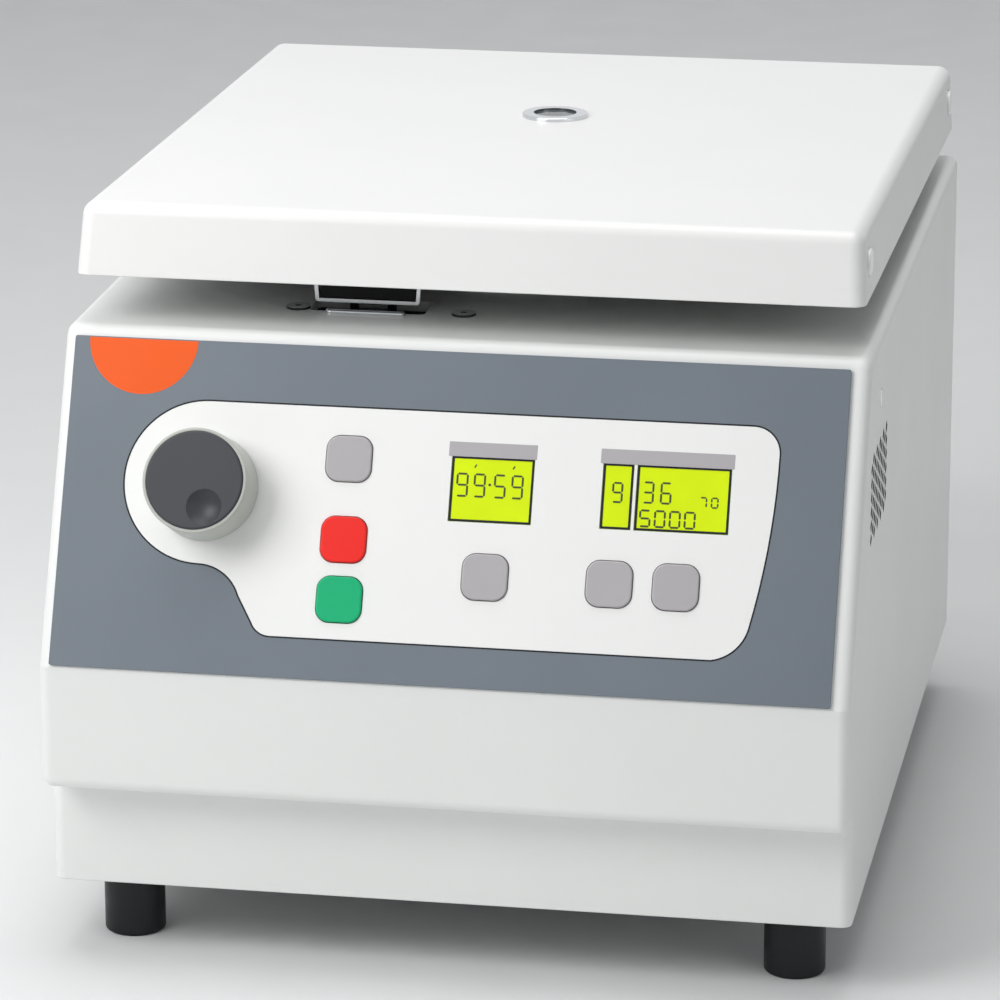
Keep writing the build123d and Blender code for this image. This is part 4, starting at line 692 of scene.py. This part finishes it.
# ================================================================ the power switch
def rocker_marks():
    """The usual on and off marks in white on the two halves of the power switch."""
    middle = centre("power_rocker").z
    reach, bar_stroke, ring_stroke = 2.0 * MM, 0.9 * MM, 0.6 * MM
    # The two halves of the front lean a little to either side of y, the way that the switch looks.
    outward = [face for face in nodes["power_rocker"].data.polygons if face.normal.y > 0.8]
    for name, side in (("rocker_mark_on", 1), ("rocker_mark_off", -1)):
        half = [face for face in outward if (face.center.z - middle) * side > 0]
        facing = largest(half).normal
        flat = [face for face in half if face.normal.dot(facing) > 0.999]  # not the eased edges
        area = sum(face.area for face in flat)
        place = sum((face.center * face.area for face in flat), Vector()) / area
        matrix = surface(place, -ACROSS, facing)
        mesh = bmesh.new()
        if side > 0:
            bar = rounded(-bar_stroke / 2, bar_stroke / 2, -reach, reach, radius=0.2 * MM)
            raised(mesh, bar, CLEAR, PRINT, matrix)
        else:
            band(mesh, circle(reach), circle(reach - ring_stroke), CLEAR, PRINT, matrix)
        smooth_piece(name, mesh, mark_white, "rocker")


# ================================================================ stage, lamps and camera
def stage():
    """Plain pale floor, and a world that is pale to the camera and in reflections but lights softly."""
    mesh = bmesh.new()
    bmesh.ops.create_grid(mesh, x_segments=24, y_segments=24, size=12)
    data = bpy.data.meshes.new("floor")
    mesh.to_mesh(data)
    mesh.free()
    floor = bpy.data.objects.new("floor", data)
    bpy.context.scene.collection.objects.link(floor)
    pale = plastic("floor_pale", "#E9EAEA", 0.8, grain=300, depth=0.01, edge=0, spread=0.01)
    data.materials.append(pale)

    world = bpy.data.worlds.new("studio")
    bpy.context.scene.world = world
    world.use_nodes = True
    tree = world.node_tree
    background = tree.nodes["Background"]
    rays = tree.nodes.new("ShaderNodeLightPath")
    seen = rays.outputs["Is Camera Ray"]
    for kind in ("Is Glossy Ray", "Is Transmission Ray"):
        either = tree.nodes.new("ShaderNodeMath")
        either.operation = "MAXIMUM"
        tree.links.new(seen, either.inputs[0])
        tree.links.new(rays.outputs[kind], either.inputs[1])
        seen = either.outputs["Value"]
    strength = tree.nodes.new("ShaderNodeMapRange")
    strength.inputs["To Min"].default_value = 0.27  # where it lights the object
    strength.inputs["To Max"].default_value = 0.9  # where it is seen
    tree.links.new(seen, strength.inputs["Value"])
    tree.links.new(strength.outputs["Result"], background.inputs["Strength"])
    background.inputs["Color"].default_value = (0.96, 0.98, 1.0, 1)


def lamp(name, location, target, size, power):
    """A square soft lamp aimed at a place, in metres and watts."""
    data = bpy.data.lights.new(name, "AREA")
    data.size = size
    data.energy = power
    light = bpy.data.objects.new(name, data)
    light.location = location
    light.rotation_euler = (Vector(target) - Vector(location)).to_track_quat("-Z", "Y").to_euler()
    bpy.context.scene.collection.objects.link(light)


def lamps():
    """A key from the left and in front, a wide top light, and a weak fill from the right."""
    body = (0, 0, 0.12)
    lamp("key", (-0.68, -0.76, 0.88), body, size=0.7, power=9.0)
    lamp("top", (-0.1, 0.2, 2.2), (0, 0, 0.2), size=1.6, power=21)
    lamp("fill", (1.9, -1.2, 0.9), body, size=1.2, power=3)


def camera(place, azimuth, elevation, roll, lens):
    """A camera at a place in metres. Angles are in degrees, azimuth from the front to the right."""
    azimuth, elevation, roll = math.radians(azimuth), math.radians(elevation), math.radians(roll)
    level = math.cos(elevation)  # the share of the line of sight that is level
    back = Vector((math.sin(azimuth) * level, -math.cos(azimuth) * level, math.sin(elevation)))
    right = Vector((math.cos(azimuth), math.sin(azimuth), 0))
    turn = Matrix((right, back.cross(right), back)).transposed()
    data = bpy.data.cameras.new("camera")
    data.sensor_width = 36.0
    data.lens = lens
    view = bpy.data.objects.new("camera", data)
    view.location = place
    view.rotation_mode = "QUATERNION"
    view.rotation_quaternion = turn.to_quaternion() @ Matrix.Rotation(roll, 3, "Z").to_quaternion()
    bpy.context.scene.collection.objects.link(view)
    bpy.context.scene.camera = view


dress_nodes()
dress_part("case_screws", sheet_grey, on_deck_screw)
# The screws' upright sides are painted black as the shade of the gap round their heads.
dress_part("case_screws", screw_gap_shade, on_screw_side_painted_shade)
# The walls of the air holes in the white housing are painted dark, as the shade inside them.
dress_part("housing", dark_screen_and_hole_shade, in_vent_hole_painted_shade)
# The bore of the port ring is painted dark, as the shade inside the hole.
dress_part("port_ring", chrome_painted_bore_shade, in_port_bore_painted_shade)
half_disc()
plate_outline()
label_strips()
displays()
rocker_marks()
stage()
lamps()
# A long lens, a little to the right and above, as the photograph was taken.
camera((0.3153, -1.80412, 0.68074), azimuth=10.269, elevation=16.978, roll=-0.173, lens=185.93)
bpy.context.scene.view_settings.view_transform = "Standard"
